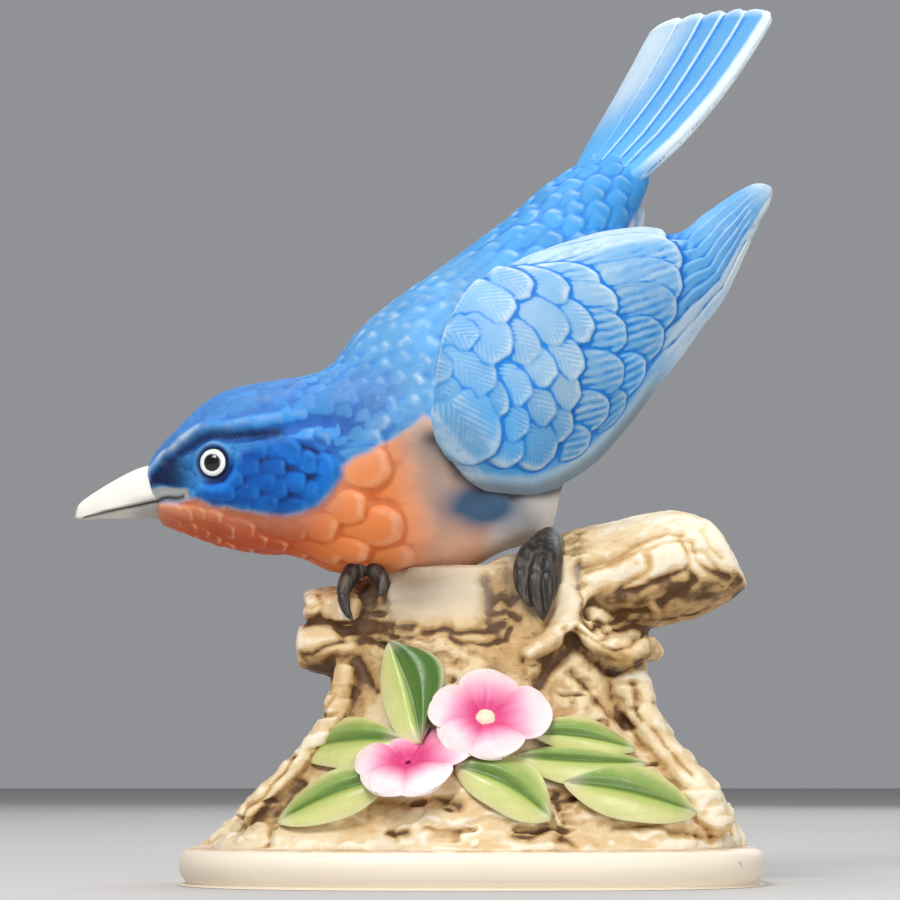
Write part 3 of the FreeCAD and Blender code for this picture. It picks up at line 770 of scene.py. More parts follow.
def body_tone(p, h, blue, deep, low, high, cloud, specks):
    """Zones of the body: blue above, cheek, navy eye band with painted shadow under the brow, orange
    breast, white vent, and painted shadow under the wing.
    """
    blue = p.wash(blue, p.mix(deep, (0.016, 0.240, 0.640), (0.002, 0.100, 0.420)), "head", 0.85)
    blue = p.wash(blue, h.crown, "crown", p.span(specks, 0.3, 0.65, 0.20, 0.80))
    blue = p.wash(blue, h.crown, "nape", 0.75)
    blue = p.wash(blue, h.cheek, "furrow", p.span(low, -0.05, 0.12, 0.25, 0.95))
    blue = p.wash(blue, (0.200, 0.440, 0.680), "rub", p.span(specks, 0.3, 0.7, 0.15, 0.45))
    blue = p.wash(blue, h.pale, "rub", high)
    cheek = p.mix(p.span(cloud, 0.35, 0.65), (0.001, 0.070, 0.350), (0.003, 0.150, 0.560))
    cheek = p.mix(p.span(low, -0.06, 0.26), cheek, h.cheek)
    cheek = p.mix(p.span(low, 0.16, 0.5, 0.0, 0.85), cheek, h.navy)
    cheek = p.mix(p.times(high, 0.40), cheek, (0.030, 0.250, 0.640))
    blue = p.wash(blue, cheek, "cheek")
    # navy eye band, and the painted shadow under the brow
    blue = p.wash(blue, h.navy, "stripe_and_brow_shadow")
    blue = p.wash(blue, h.pale, "pale_line", 0.65)
    breast = p.wash(h.orange, h.rust, "rust")
    breast = p.mix(p.times(deep, 0.60), breast, h.rust)
    breast = p.mix(p.times(high, 0.50), breast, (0.90, 0.50, 0.32))
    belly = p.wash(h.peach, h.flank, "flank")
    belly = p.mix(p.times(deep, 0.4), belly, (0.46, 0.22, 0.12))
    blush = p.times(p.span(cloud, 0.35, 0.75, 0.0, 0.30), p.span(p.value("flank"), 1.0, 0.0))
    belly = p.mix(blush, belly, (0.62, 0.34, 0.22))
    below = p.wash(belly, breast, "breast")
    below = p.wash(below, (0.190, 0.185, 0.185), "smoke", 0.80)
    below = p.wash(below, (0.025, 0.110, 0.230), "blue_spot", 0.95)
    # painted shadow under the wing's lower edge
    below = p.wash(below, (0.025, 0.030, 0.038), "shadow_under_wing", 0.90)
    tone = p.wash(blue, below, "under")
    tone = p.wash(tone, (0.40, 0.41, 0.40), "gape")
    tone = p.wash(tone, (0.02, 0.02, 0.022), "mouth", 0.95)
    return p.wash(tone, h.navy, "eye_ring", 0.9)


def wing_tone(p, h, blue, deep, low, high):
    """Zones of the wings and the tail: rubbed stone and white over the blue; on the wings also painted
    shade on the lower band, painted shadow along the lower edge and dark seam lines.
    """
    blue = p.wash(blue, h.stone, "stone", p.span(low, 0.26, -0.02))
    blue = p.wash(blue, h.pale, "bleach", p.span(low, 0.30, 0.0, 0.10, 1.0))
    blue = p.wash(blue, p.mix(deep, (0.045, 0.270, 0.580), h.deep), "soak", 0.60)
    blue = p.mix(p.times(high, 0.55), blue, h.pale)
    blue = p.mix(p.span(low, 0.45, 1.1, 0.0, 0.70), blue, (0.004, 0.070, 0.330))
    # painted shade: grey over the wing's lower rolled band and at its root
    blue = p.wash(blue, (0.150, 0.190, 0.220), "dusk", 0.8)
    # painted shadow on the wing's inner face along its lower edge, and dark painted lines along the flight
    # feathers' seams
    return p.wash(blue, (0.010, 0.016, 0.034), "ink")


def paint_bird(kind):
    """Bird's bisque: airbrushed zones on the body, or the blue of the wings and tail."""
    h = hues()
    p = Paint("bird_" + kind)
    crease, hollow = p.value("crease"), p.value("hollow")
    cloud = p.noise(9.0, 3.0)
    grit = p.noise(0.5, 5.0, 0.7)
    specks = p.noise(1.8, 4.0, 0.65)
    of_crease, of_hollow, of_notch = (5.0, 1.1, 0.16) if kind == "body" else (6.0, 1.7, 0.20)
    low = p.plus(p.times(crease, of_crease), p.times(hollow, of_hollow))
    low = p.plus(low, p.times(p.value("notch"), of_notch))
    deep = p.span(low, -0.03, 0.34)
    high = p.span(p.times(crease, 7.0) if kind == "body" else low, -0.06, -0.46)
    high = p.plus(high, p.times(p.value("rim"), 0.50), clamp=True)
    high = p.times(high, p.span(specks, 0.28, 0.62, 0.35, 1.0))
    sky = p.mix(p.span(cloud, 0.3, 0.7, 0.0, 0.25), h.sky, h.deep)
    if kind == "wing":
        sky = p.mix(0.30, sky, (0.150, 0.450, 0.780))
    rich = (0.026, 0.265, 0.620) if kind == "body" else (0.085, 0.400, 0.780)
    sky = p.wash(sky, rich, "rich", p.span(specks, 0.25, 0.6, 0.5, 0.9))
    blue = p.mix(deep, sky, h.deep)
    if kind == "body":
        tone = body_tone(p, h, blue, deep, low, high, cloud, specks)
    else:
        tone = wing_tone(p, h, blue, deep, low, high)
    # each feather a little lighter or darker than the next
    vary = p.maths("MULTIPLY_ADD", p.value("feather_shade"), 0.20, 0.90)
    tone = p.mix(1.0, tone, vary, "MULTIPLY")
    # barbs: fine lines that sweep off a feather's middle
    barb = p.plus(p.value("barb"), p.times(p.noise(2.5, 3.0), 1.2))
    lines = p.maths("SINE", p.times(barb, 4.6))
    lines = p.times(lines, p.value("barb_fade"))
    lines = p.times(lines, p.span(specks, 0.3, 0.7, 0.15, 1.0))
    if kind == "body":
        tone = p.mix(p.span(lines, 0.2, 1.0, 0.0, 0.06), tone, h.pale)
        above = p.span(p.value("under"), 1.0, 0.0)
        tone = p.mix(p.times(p.span(lines, -0.2, -1.0, 0.0, 0.18), above), tone, h.deep)
    else:
        tone = p.mix(p.span(lines, 0.1, 1.0, 0.0, 0.22), tone, (0.50, 0.68, 0.80))
        tone = p.mix(p.span(lines, -0.1, -1.0, 0.0, 0.42), tone, (0.012, 0.230, 0.660))
    tone = p.mix(p.span(grit, 0.60, 0.75, 0.0, 0.14), tone, (0.70, 0.74, 0.77))
    tone = p.mix(p.span(p.noise(0.9, 2.0, 0.5), 0.76, 0.82, 0.0, 0.35), tone, (0.02, 0.05, 0.12))
    normal = p.bump(lines, 0.03)
    normal = p.bump(p.plus(grit, specks), 0.07, normal)
    rough = p.span(cloud, 0.3, 0.7, 0.52, 0.64)
    return p.finish(tone, rough, normal, specular=0.22)


class FIGURINE_OT_body(bpy.types.Operator):
    """Model the bird's body and head with its feathers"""
    bl_idname = "figurine.body"
    bl_label = "Body"

    def execute(self, context):
        mesh = skin("bird_body_skin", 350, 270,
                    lambda u, v: body_point(u * BODY_ROWS, 2 * np.pi * v))
        t = read_value(mesh, "u") * BODY_ROWS
        turn = read_value(mesh, "v") * 2 * np.pi
        plumage = Plumage(read(mesh) / MM, read(mesh, "normal"))
        feather_body(plumage, sizes().feather_lift / MM)
        sculpt_body(plumage, t, turn)
        plumage.store(mesh)
        mark_hollows(mesh)
        zones = body_zones(mesh, t, turn)
        flat = folded(t, turn)[1]
        x, z = flat[:, 0], flat[:, 2]
        rub = np.clip(0.62 + 0.3 * value_noise(flat, 12.0, 31), 0, 1)
        rub = rub * (0.25 + 0.75 * smooth((t - 6) / 2)) * (1 - 0.55 * smooth((t - 9.2) / 1.4))
        rub = np.maximum(rub, 0.8 * dab(x, z, -11.0, 97.0, 5.0, 7.0, 50))
        mark(mesh, rub=rub, head=smooth((6.8 - t) / 1.6) * (1 - zones["crown"] * 0.3))
        settle(add_object("bird_body_skin", mesh), paint_bird("body"), "bird_bisque", "bird_body")
        return {"FINISHED"}


# ---- wings ------------------------------------------------------------------------
WING_YAW = math.radians(20.0)
WING_LONG = 80.5  # the near wing; the wing's tables are in its millimetres
WING_ROOT = np.array((-9.3, 0.0, 81.5))
LEVEL = np.array((math.cos(WING_YAW), math.sin(WING_YAW), 0.0))
OUTWARD = np.array((math.sin(WING_YAW), -math.cos(WING_YAW), 0.0))
# Length and width against the table; lift, dome and lean against the wing's lift; soft
# edge; how round the tip is.
LONG_FEATHER = (1.15, 1.40, 0.75, 0.35, 0.34, 0.75, 1.6)
COVERT = (1.5, 1.36, 0.85, 0.40, 0.12, 0.85, 1.2)
# Wings: node; 1 for the bird's left and -1 for its right; length; rise of its line in
# degrees; drop below the left one's root.
WINGS = (("wing_left", 1, WING_LONG, 39.0, 0.0), ("wing_right", -1, 66.0, 52.0, 5.0))


class WingShape:
    """A folded wing: places across its face and round its edge."""

    def __init__(self, side, long, rise, drop):
        rise = math.radians(rise)
        self.side, self.long, self.drop = side, long, drop
        self.line = LEVEL * math.cos(rise) + np.array((0, 0, math.sin(rise)))
        self.down = LEVEL * math.sin(rise) - np.array((0, 0, math.cos(rise)))
        self.out = OUTWARD * side

    def place(self, u, v):
        steps = np.asarray(WING)[:, 0]
        step = steps[0] + u * (steps[-1] - steps[0])
        row = spline(WING, np.interp(step, steps, np.arange(len(WING))))
        # 0 to 0.68 runs over the outer face, the rest back over the inner one
        a = np.where(v < 0.68, v / 0.68 * np.pi, np.pi + (v - 0.68) / 0.32 * np.pi)
        f = 0.5 - 0.5 * np.cos(a)
        depth = 0.5 - 0.5 * fuller(np.sin(a), 0.45)
        end = rounded(np.minimum(u, 1 - u), 0.03, 0.0004)
        top, low = row[:, 1], row[:, 2]
        middle = (top + low) / 2
        down = middle + (f - 0.5) * (low - top) * end + self.drop
        chord = row[:, 3] + (row[:, 5] - row[:, 3]) * f
        reach = chord + (row[:, 4] - (row[:, 3] + row[:, 5]) / 2) * 4 * f * (1 - f)
        reach = reach - (0.5 + (depth - 0.5) * end) * 5.0 * row[:, 6]
        return (WING_ROOT + self.line * (step * self.long)[:, None]
                + self.down * down[:, None] + self.out * reach[:, None])

    def flat(self, p):
        """Along and down the wing, in the near wing's own millimetres."""
        d = p - WING_ROOT
        return (d @ self.line) * WING_LONG / self.long, d @ self.down - self.drop


def flight_feathers(along, down, chord):
    """Long steps that run side by side to the wing tip, and the seams between them."""
    flow = chord + 0.012 * np.sin(along * 0.21) + 0.006 * np.sin(along * 0.9 + down)
    steps = np.zeros(len(flow))
    seams = np.zeros(len(flow))
    for number, at in enumerate((0.12, 0.27, 0.41, 0.54, 0.66, 0.77, 0.87)):
        d = flow - at
        ends = smooth((along - 26) / 6) * smooth((78.5 - 1.2 * number - along) / 3)
        steps += 0.34 * ends * (smooth(0.5 + d / 0.035) - 0.5) * np.exp(-np.abs(d) / 0.10)
        seams += ends * np.exp(-((d + 0.012) / 0.016) ** 2)
    return steps, seams


def lay_wing(plumage, shape, along, down, facing, lift):
    """Lays the feathers of WING_FEATHERS on the wing's outer face."""
    base = {TERTIAL: 0.35, GREATER: 0.6, MEDIAN: 0.8, LESSER: 1.0, SHOULDER: 1.2}
    scale, side = shape.long / WING_LONG, shape.side
    outer = np.flatnonzero(facing > 0.15)
    for layer, r0, d0, r1, d1, wide in WING_FEATHERS:
        root = WING_ROOT + shape.line * (r0 * scale) + shape.down * (d0 + shape.drop)
        hit = outer[np.argmin((along[outer] - r1) ** 2 + (down[outer] - d1) ** 2)]
        tip = plumage.p[hit]
        run = tip - (root + shape.out * ((tip - root) @ shape.out))
        stretch = float(np.linalg.norm(run))
        long_one = layer in (TERTIAL, GREATER)
        longer, wider, up, dome, lean, soft, end = LONG_FEATHER if long_one else COVERT
        plumage.lay(tip, run / stretch, plumage.n[hit], stretch * longer, wide * wider, lift * up,
                    lift * dome, base=base[layer], lean=lean * lift * side, soft=soft,
                    round_end=end, bend=-0.10 * side if layer == TERTIAL else 0.0,
                    streaks=long_one)


def build_wing(node, side, long, rise, drop):
    """Bends, feathers and paints one wing."""
    shape = WingShape(side, long, rise, drop)
    mesh = skin(node + "_skin", 300, 300, shape.place)
    p, n = read(mesh) / MM, read(mesh, "normal")
    along, down = shape.flat(p)
    facing = n @ shape.out
    table = np.asarray(WING)
    top, low = (np.interp(along, table[:, 0] * WING_LONG, table[:, k]) for k in (1, 2))
    chord = (down - top) / (low - top)
    plumage = Plumage(p, n)

    def patch(cx, cy, rx, ry):
        return dab(along, down, cx, cy, rx, ry)

    steps, seams = flight_feathers(along, down, chord)
    covered = np.clip(1.6 * patch(11.0, 1.5, 16.0, 14.5), 0, 1)
    plumage.height = 0.25 + steps * (1 - covered) + 0.62 * covered
    lay_wing(plumage, shape, along, down, facing, sizes().wing_lift / MM)
    plumage.height += 0.12 * layered_noise(p, 4.0, 12, 3)
    plumage.height *= smooth(facing / 0.35)
    back = facing < -0.2
    ridge = np.sin(down * 2.1 + 0.10 * along + 0.6 * value_noise(p, 14, 4))
    plumage.height = np.where(back, 0.22 * ridge * smooth(-facing / 0.5), plumage.height)
    plumage.barb = np.where(plumage.owner > 0, plumage.barb, down * 0.8)
    plumage.fade = np.where(plumage.owner > 0, plumage.fade, 0.6 * smooth((along - 26) / 10) * (1 - back))
    plumage.store(mesh, 3, 0.07)
    mark_hollows(mesh)
    bare = (plumage.owner == 0).astype(float)
    band = smooth((down - low + 4.4) / 1.6) * smooth((44 - along) / 12)
    edge = smooth((chord - 0.74) / 0.08) * smooth((along - 34) / 16) * bare
    top_edge = smooth((top + 5.0 - down) / 3.5) * smooth((along - 22) / 12)
    top_edge = top_edge * smooth((60 - along) / 4)
    coverts = (patch(19.0, 3.5, 9.5, 9.5) + 0.9 * patch(37.0, -3.0, 8.0, 6.0)
               + 0.55 * patch(48, 3, 7, 4.5))
    shoulder = patch(-0.5, 5.0, 6.0, 6.5)
    mottle = 0.75 + 0.35 * layered_noise(p, 6.0, 33, 3)
    stone = (0.70 * band + 0.90 * coverts * (1 - 0.95 * shoulder)
             + 0.35 * patch(4.5, -5.0, 5.0, 4.5))
    bleach = (0.45 * band + 1.0 * edge + 0.75 * top_edge + 0.40 * patch(20, -9, 9, 6)
              + 0.30 * seams * smooth((along - 30) / 10) + 0.15 * bare * smooth((along - 55) / 14)
              + 0.40 * smooth((along - 73) / 6) + np.where(back, 0.35, 0))
    rich = (0.9 * patch(33, 9, 12, 7) + 0.9 * patch(0, 7, 8, 10)
            + 0.5 * bare * smooth((along - 30) / 10))
    soak = shoulder + 0.6 * patch(4.0, 13.0, 8.0, 4.0) + 0.5 * patch(1.0, -5.0, 4.0, 6.0)
    # painted shade on the lower part of the band that rolls under the wing, and a darker patch at the
    # wing's root
    dusk = (np.clip(band * smooth((down - low + 3.4) / 2.5), 0, 1)
            + 0.55 * patch(-1.5, 3.0, 3.5, 6.0))
    # painted shadow where the wing's lower edge turns in toward the body, plus dark lines along the seams
    ink = (smooth((0.02 - facing) / 0.4) * smooth((down - low + 4.5) / 2) * smooth((44 - along) / 12)
           + 0.25 * seams * smooth((along - 40) / 10) * bare * smooth((chord - 0.6) / 0.2))
    mark(mesh, stone=np.clip(stone * mottle, 0, 0.9), bleach=np.clip(bleach * mottle, 0, 0.95),
         rich=np.clip(rich, 0, 1), soak=np.clip(soak, 0, 1) * mottle, dusk=dusk,
         ink=np.clip(ink, 0, 0.92))
    settle(add_object(node + "_skin", mesh), paint_bird("wing"), "blue_bisque", node)


class FIGURINE_OT_wings(bpy.types.Operator):
    """Model both folded wings with their layers of feathers"""
    bl_idname = "figurine.wings"
    bl_label = "Wings"

    def execute(self, context):
        for wing in WINGS:
            build_wing(*wing)
        return {"FINISHED"}


# ---- tail -------------------------------------------------------------------------
TAIL_START = np.array((22.9, 14.9, 127.4))
TAIL_LONG, TAIL_HALF, TAIL_THICK = 48.0, 16.6, 3.4
# Sections: share of the length; share of the half width; rise of the middle over the
# edges; share of the thickness.
TAIL_SECTIONS = ((0.0, 0.45, 1.6, 1.25), (0.12, 0.62, 1.8, 1.1), (0.3, 0.8, 1.6, 1.0),
                 (0.55, 0.93, 1.2, 0.9), (0.8, 1.0, 0.8, 0.8), (0.95, 1.02, 0.6, 0.7),
                 (1.0, 0.96, 0.6, 0.5))
# Raised seams of the tail: place across it at the root, at the tip, and strength.
TAIL_SEAMS = ((-0.13, -0.52, 0.45), (0.13, -0.11, 0.8), (0.46, 0.25, 1.0), (0.73, 0.57, 1.0))


class FIGURINE_OT_tail(bpy.types.Operator):
    """Model the tail as a fan of long feathers with scalloped tips"""
    bl_idname = "figurine.tail"
    bl_label = "Tail"

    def execute(self, context):
        pitch, yaw, roll = (math.radians(a) for a in (57.0, 30.8, 10.0))
        run = unit(np.array((1, math.tan(yaw), math.tan(pitch))))
        near = np.array((math.sin(yaw), -math.cos(yaw), 0))
        up = np.cross(near, run)
        up, near = (up * math.cos(roll) + near * math.sin(roll),
                    near * math.cos(roll) - up * math.sin(roll))

        def place(u, v):
            steps = np.asarray(TAIL_SECTIONS)[:, 0]
            row = spline(TAIL_SECTIONS, np.interp(u, steps, np.arange(len(steps))))
            a = np.where(v < 0.66, v / 0.66 * np.pi, np.pi + (v - 0.66) / 0.34 * np.pi)
            f = np.cos(a)
            g = fuller(np.sin(a), 0.5)
            end = rounded(1 - u, 0.02, 0.0009)
            notch = sum(np.exp(-((f - seam[1]) / 0.07) ** 2) for seam in TAIL_SEAMS)
            far = u * TAIL_LONG - smooth((u - 0.9) / 0.1) * (0.9 * notch + 1.6 * np.abs(f) ** 6)
            w = TAIL_HALF * row[:, 1] * f
            h = TAIL_THICK * row[:, 3] / 2 * g * end + row[:, 2] * (1 - f * f)
            bow = -1.4 * np.sin(np.pi * u)
            return (TAIL_START + run * far[:, None] + up * (h + bow)[:, None]
                    + near * w[:, None])

        mesh = skin("tail_skin", 190, 330, place)
        p, n = read(mesh) / MM, read(mesh, "normal")
        u = read_value(mesh, "u")
        steps = np.asarray(TAIL_SECTIONS)[:, 0]
        half = TAIL_HALF * np.interp(u, steps, np.asarray(TAIL_SECTIONS)[:, 1])
        f = ((p - TAIL_START) @ near) / np.maximum(half, 1)
        top = smooth((n @ up) / 0.4)
        below = smooth(-(n @ up) / 0.4)
        # at each seam a raised edge, with the next feather a step lower beyond it
        height = np.zeros(len(p))
        line = np.zeros(len(p))
        for root, tip, depth in TAIL_SEAMS:
            d = f - (root + (tip - root) * u ** 0.9) + 0.02 * np.sin(u * 5 + root * 9)
            depth = depth * (0.35 + 0.65 * u if root < 0 else 1)
            height += depth * 0.26 * (smooth(0.5 - d / 0.05) - 0.5) * smooth(1 - np.abs(d) / 0.30)
            height += depth * 0.16 * np.exp(-(d / 0.022) ** 2)
            line += depth * np.exp(-(d / 0.018) ** 2)
        grow = smooth((u - 0.06) / 0.1)
        ripple = 0.10 * layered_noise(p, 3.5, 44, 3) * top
        height = (height * top + 0.25 * np.sin(f * 22) * below) * grow + ripple
        write(mesh, (p + n * height[:, None]) * MM)
        mark(mesh, barb=f * half * 0.9, barb_fade=0.45 * top * smooth((0.85 - u) / 0.4),
             feather_shade=0.5, rich=smooth((0.55 - u) / 0.5))
        mark_hollows(mesh)
        edge = smooth((f - 0.86) / 0.07)
        left = smooth((0.15 - f) / 0.9) * smooth((u - 0.25) / 0.4)
        left = left * (0.85 + 0.3 * layered_noise(p, 6.0, 71, 3))
        bleach = (0.9 * edge + 0.72 * left + 0.45 * line * top + 0.4 * smooth((u - 0.93) / 0.05)
                  + 0.5 * below)
        mark(mesh, bleach=np.clip(bleach, 0, 1) * smooth((u - 0.05) / 0.2), stone=0.25 * left)
        settle(add_object("tail_skin", mesh), paint_bird("wing"), "blue_bisque", "tail")
        return {"FINISHED"}


# ---- beak -------------------------------------------------------------------------
# x, roof, gape line, floor, half width
BEAK = ((-51.5, 73.4, 68.1, 64.7, 4.8), (-55.5, 74.2, 67.4, 64.55, 4.5),
        (-58.4, 73.7, 66.8, 64.6, 3.8), (-61.0, 72.6, 66.3, 64.6, 3.2),
        (-64.0, 70.9, 65.7, 64.6, 2.55), (-66.7, 69.2, 65.2, 64.5, 2.0),
        (-68.9, 67.6, 64.7, 64.2, 1.35), (-70.2, 66.2, 64.6, 64.1, 0.75))


def paint_beak():
    p = Paint("beak_bisque")
    grit = p.noise(0.7, 5.0, 0.7)
    cloud = p.noise(3.5, 3.0)
    tone = p.mix(p.span(cloud, 0.35, 0.7, 0.0, 0.4), (0.78, 0.74, 0.67), (0.66, 0.62, 0.55))
    tone = p.mix(p.value("grey"), tone, (0.27, 0.27, 0.26))
    tone = p.mix(p.value("dark"), tone, (0.030, 0.028, 0.028))
    tone = p.mix(p.span(grit, 0.62, 0.8, 0.0, 0.25), tone, (0.40, 0.34, 0.27))
    return p.finish(tone, p.span(cloud, 0.3, 0.7, 0.42, 0.58), p.bump(grit, 0.04), specular=0.4)


class FIGURINE_OT_beak(bpy.types.Operator):
    """Model the upper and lower beak"""
    bl_idname = "figurine.beak"
    bl_label = "Beak"

    def execute(self, context):
        rows = np.asarray(BEAK)
        for name, node, upper in (("beak_upper_skin", "beak_upper", True),
                                  ("beak_lower_skin", "beak_lower", False)):
            last = len(rows) - 1 if upper else len(rows) - 2

            def place(u, v):
                t = u * last
                row = spline(rows, t)
                a = 2 * np.pi * v
                c, s = np.cos(a), np.sin(a)
                end = rounded(1 - u, 0.08, 0.0009)
                roof, gape, floor, wide = (row[:, k] for k in (1, 2, 3, 4))
                if upper:
                    z = gape + np.where(s > 0, (roof - gape) * s, 0.25 * s) * end
                    keel = 1 - 0.22 * np.clip(s, 0, 1) ** 2
                else:
                    z = gape - 0.12 + np.where(s < 0, (gape - floor) * s, 0.06 * s) * end
                    keel = 0.93 - 0.25 * np.clip(-s, 0, 1) ** 2
                y = -10.0 + (row[:, 0] + 56.8) * math.tan(math.radians(6.0)) - wide * c * keel * end
                return np.stack([row[:, 0], y, z], 1)

            mesh = skin(name, 120, 72, place)
            p = read(mesh) / MM
            gape = np.interp(-p[:, 0], -rows[:, 0], rows[:, 2])
            back = smooth((p[:, 0] + 62.5) / 5.0)
            if upper:
                grey = 0.55 * smooth((gape + 1.9 - p[:, 2]) / 1.6) * back
                dark = 0.9 * smooth((gape + 0.35 - p[:, 2]) / 0.4) * smooth((p[:, 0] + 67.5) / 3)
            else:
                grey = 0.35 + 0.5 * back
                dark = 0.85 * smooth((p[:, 2] - gape + 0.7) / 0.5)
            mark(mesh, grey=grey, dark=dark)
            settle(add_object(name, mesh), paint_beak(), "beak_bisque", node)
        return {"FINISHED"}


# ---- eyes -------------------------------------------------------------------------
# Radius and height from the middle of an eye to its edge: pupil, groove, ring, lid.
EYE_OUTLINE = ((0.02, 0.98), (0.5, 0.96), (1.0, 0.86), (1.36, 0.70), (1.48, 0.60), (1.60, 0.63),
               (1.8, 0.66), (2.05, 0.58), (2.3, 0.40), (2.5, 0.14), (2.65, -0.2), (2.75, -0.8))


def paint_eye():
    p = Paint("eye_glaze")
    ring = p.value("ring")
    wobble = p.noise(0.9, 3.0)
    where = p.maths("MULTIPLY_ADD", wobble, 0.16, p.maths("SUBTRACT", ring, 0.08))
    tone = p.mix(p.span(where, 1.36, 1.44), (0.004, 0.004, 0.005), (0.10, 0.105, 0.11))
    tone = p.mix(p.span(where, 1.46, 1.66), tone, (0.84, 0.84, 0.82))
    tone = p.mix(p.span(where, 2.22, 2.46), tone, (0.003, 0.006, 0.016))
    rough = p.span(where, 1.3, 1.5, 0.10, 0.30)
    return p.finish(tone, rough, p.bump(wobble, 0.02), specular=0.6)


class FIGURINE_OT_eyes(bpy.types.Operator):
    """Spin both eyes: a black pupil in a white ring"""
    bl_idname = "figurine.eyes"
    bl_label = "Eyes"

    def execute(self, context):
        for name, direction in (("eye_left", 1), ("eye_right", -1)):
            bm = bmesh.new()
            line = [bm.verts.new((r * MM, 0, h * MM)) for r, h in EYE_OUTLINE]
            for a, b in zip(line, line[1:]):
                bm.edges.new((a, b))
            bmesh.ops.spin(bm, geom=bm.verts[:] + bm.edges[:], axis=(0, 0, 1), cent=(0, 0, 0),
                           angle=2 * math.pi, steps=64, use_merge=True)
            bmesh.ops.holes_fill(bm, edges=[e for e in bm.edges if e.is_boundary])
            bmesh.ops.recalc_face_normals(bm, faces=bm.faces)
            mesh = poured(bm, bpy.data.meshes.new(name + "_ball"))
            weld(mesh)
            mark(mesh, ring=np.linalg.norm(read(mesh)[:, :2], axis=1) / MM)
            t, turn = np.array([EYE_T]), np.array([direction * EYE_TURN])
            spot = body_point(t, turn)[0]
            normal = body_normal(t, turn)[0][0]
            turned = Vector(normal).to_track_quat("Z", "Y").to_matrix().to_4x4()
            mesh.transform(Matrix.Translation(Vector(spot * MM)) @ turned)
            settle(add_object(name + "_ball", mesh), paint_eye(), "eye_glaze", name)
        return {"FINISHED"}


# ---- feet -------------------------------------------------------------------------
# Each toe runs from the leg to the tip of its claw: x, y, z and radius.
FEET = (
    ("foot_left", (((12.6, -5.5, 60.2, 2.2), (10.2, -10.8, 58.2, 2.0), (8.8, -13.6, 55.4, 1.6),
                    (8.7, -14.8, 51.8, 1.1), (10.4, -15.0, 48.2, 0.25)),
                   ((13.4, -6.0, 61.6, 2.4), (12.0, -12.0, 57.8, 2.0), (11.2, -15.0, 53.4, 1.6),
                    (11.6, -15.8, 49.0, 1.0), (12.6, -15.6, 45.8, 0.25)),
                   ((13.8, -5.5, 62.2, 2.3), (13.4, -11.4, 58.2, 1.9), (13.2, -14.6, 53.6, 1.5),
                    (13.1, -15.2, 49.6, 0.9), (12.8, -15.2, 46.8, 0.25)),
                   ((14.2, -4.5, 62.6, 2.0), (14.5, -9.2, 58.2, 1.6), (14.4, -12.0, 54.6, 1.3),
                    (14.2, -13.4, 51.4, 0.8), (13.8, -13.9, 49.4, 0.25)))),
    ("foot_right", (((-17.0, -1.0, 60.0, 3.2), (-20.4, -7.5, 56.0, 2.0), (-22.6, -10.8, 52.2, 1.4),
                     (-22.3, -12.4, 48.8, 1.0), (-20.9, -12.9, 46.0, 0.25)),
                    ((-16.0, -1.0, 59.0, 2.8), (-17.6, -7.0, 56.2, 1.8), (-15.9, -10.6, 53.4, 1.3),
                     (-16.2, -11.8, 50.6, 0.6)))),
)


def paint_foot():
    h = hues()
    p = Paint("foot_bisque")
    crease = p.value("crease")
    streak = p.noise(1.4, 5.0, 0.65, stretch=(1.0, 1.0, 0.22))
    grit = p.noise(0.5, 4.0, 0.7)
    tone = p.mix(p.span(streak, 0.40, 0.66, 0.0, 0.80), h.charcoal, (0.120, 0.098, 0.078))
    tone = p.wash(tone, (0.36, 0.42, 0.47), "bloom", p.span(streak, 0.3, 0.7, 0.3, 1.0))
    tone = p.mix(p.span(crease, -0.02, -0.10, 0.0, 0.7), tone, (0.22, 0.19, 0.17))
    tone = p.mix(p.span(crease, 0.02, 0.10, 0.0, 0.9), tone, (0.006, 0.006, 0.007))
    normal = p.bump(streak, 0.16, p.bump(grit, 0.05))
    return p.finish(tone, p.span(streak, 0.3, 0.7, 0.32, 0.55), normal, specular=0.45)


class FIGURINE_OT_feet(bpy.types.Operator):
    """Model the feet gripping the perch"""
    bl_idname = "figurine.feet"
    bl_label = "Feet"

    def execute(self, context):
        for name, toes in FEET:
            parts = [tube(name, toe, 18, 40) for toe in toes]
            piece = merged(name + "_skin", parts, 0.24, 1)
            mesh = piece.data
            p, n = read(mesh) / MM, read(mesh, "normal")
            ridge = value_noise(p * (2.2, 2.2, 0.35), 1.8, 8)
            write(mesh, (p + n * (0.13 * ridge)[:, None]) * MM)
            mark_hollows(mesh, 3, 20)
            mark(mesh, bloom=0.8 * dab(p[:, 0], p[:, 2], 15.6, 61.5, 1.3, 2.6))
            settle(piece, paint_foot(), "foot_bisque", name)
        return {"FINISHED"}


# ---- plinth and stump -------------------------------------------------------------
def paint_plinth():
    h = hues()
    p = Paint("cream_bisque")
    cloud = p.noise(22.0, 4.0)
    grit = p.noise(0.8, 5.0, 0.7)
    pits = p.noise(2.6, 2.0, 0.4)
    tone = p.mix(p.span(cloud, 0.35, 0.7, 0.0, 0.5), h.cream, (0.80, 0.69, 0.54))
    tone = p.wash(tone, h.tan, "wash", p.span(p.noise(5.0, 4.0), 0.3, 0.65))
    tone = p.mix(p.span(pits, 0.74, 0.80, 0.0, 0.5), tone, (0.42, 0.30, 0.20))
    normal = p.bump(cloud, 0.25, p.bump(grit, 0.03))
    return p.finish(tone, p.span(cloud, 0.3, 0.7, 0.36, 0.50), normal, specular=0.42)


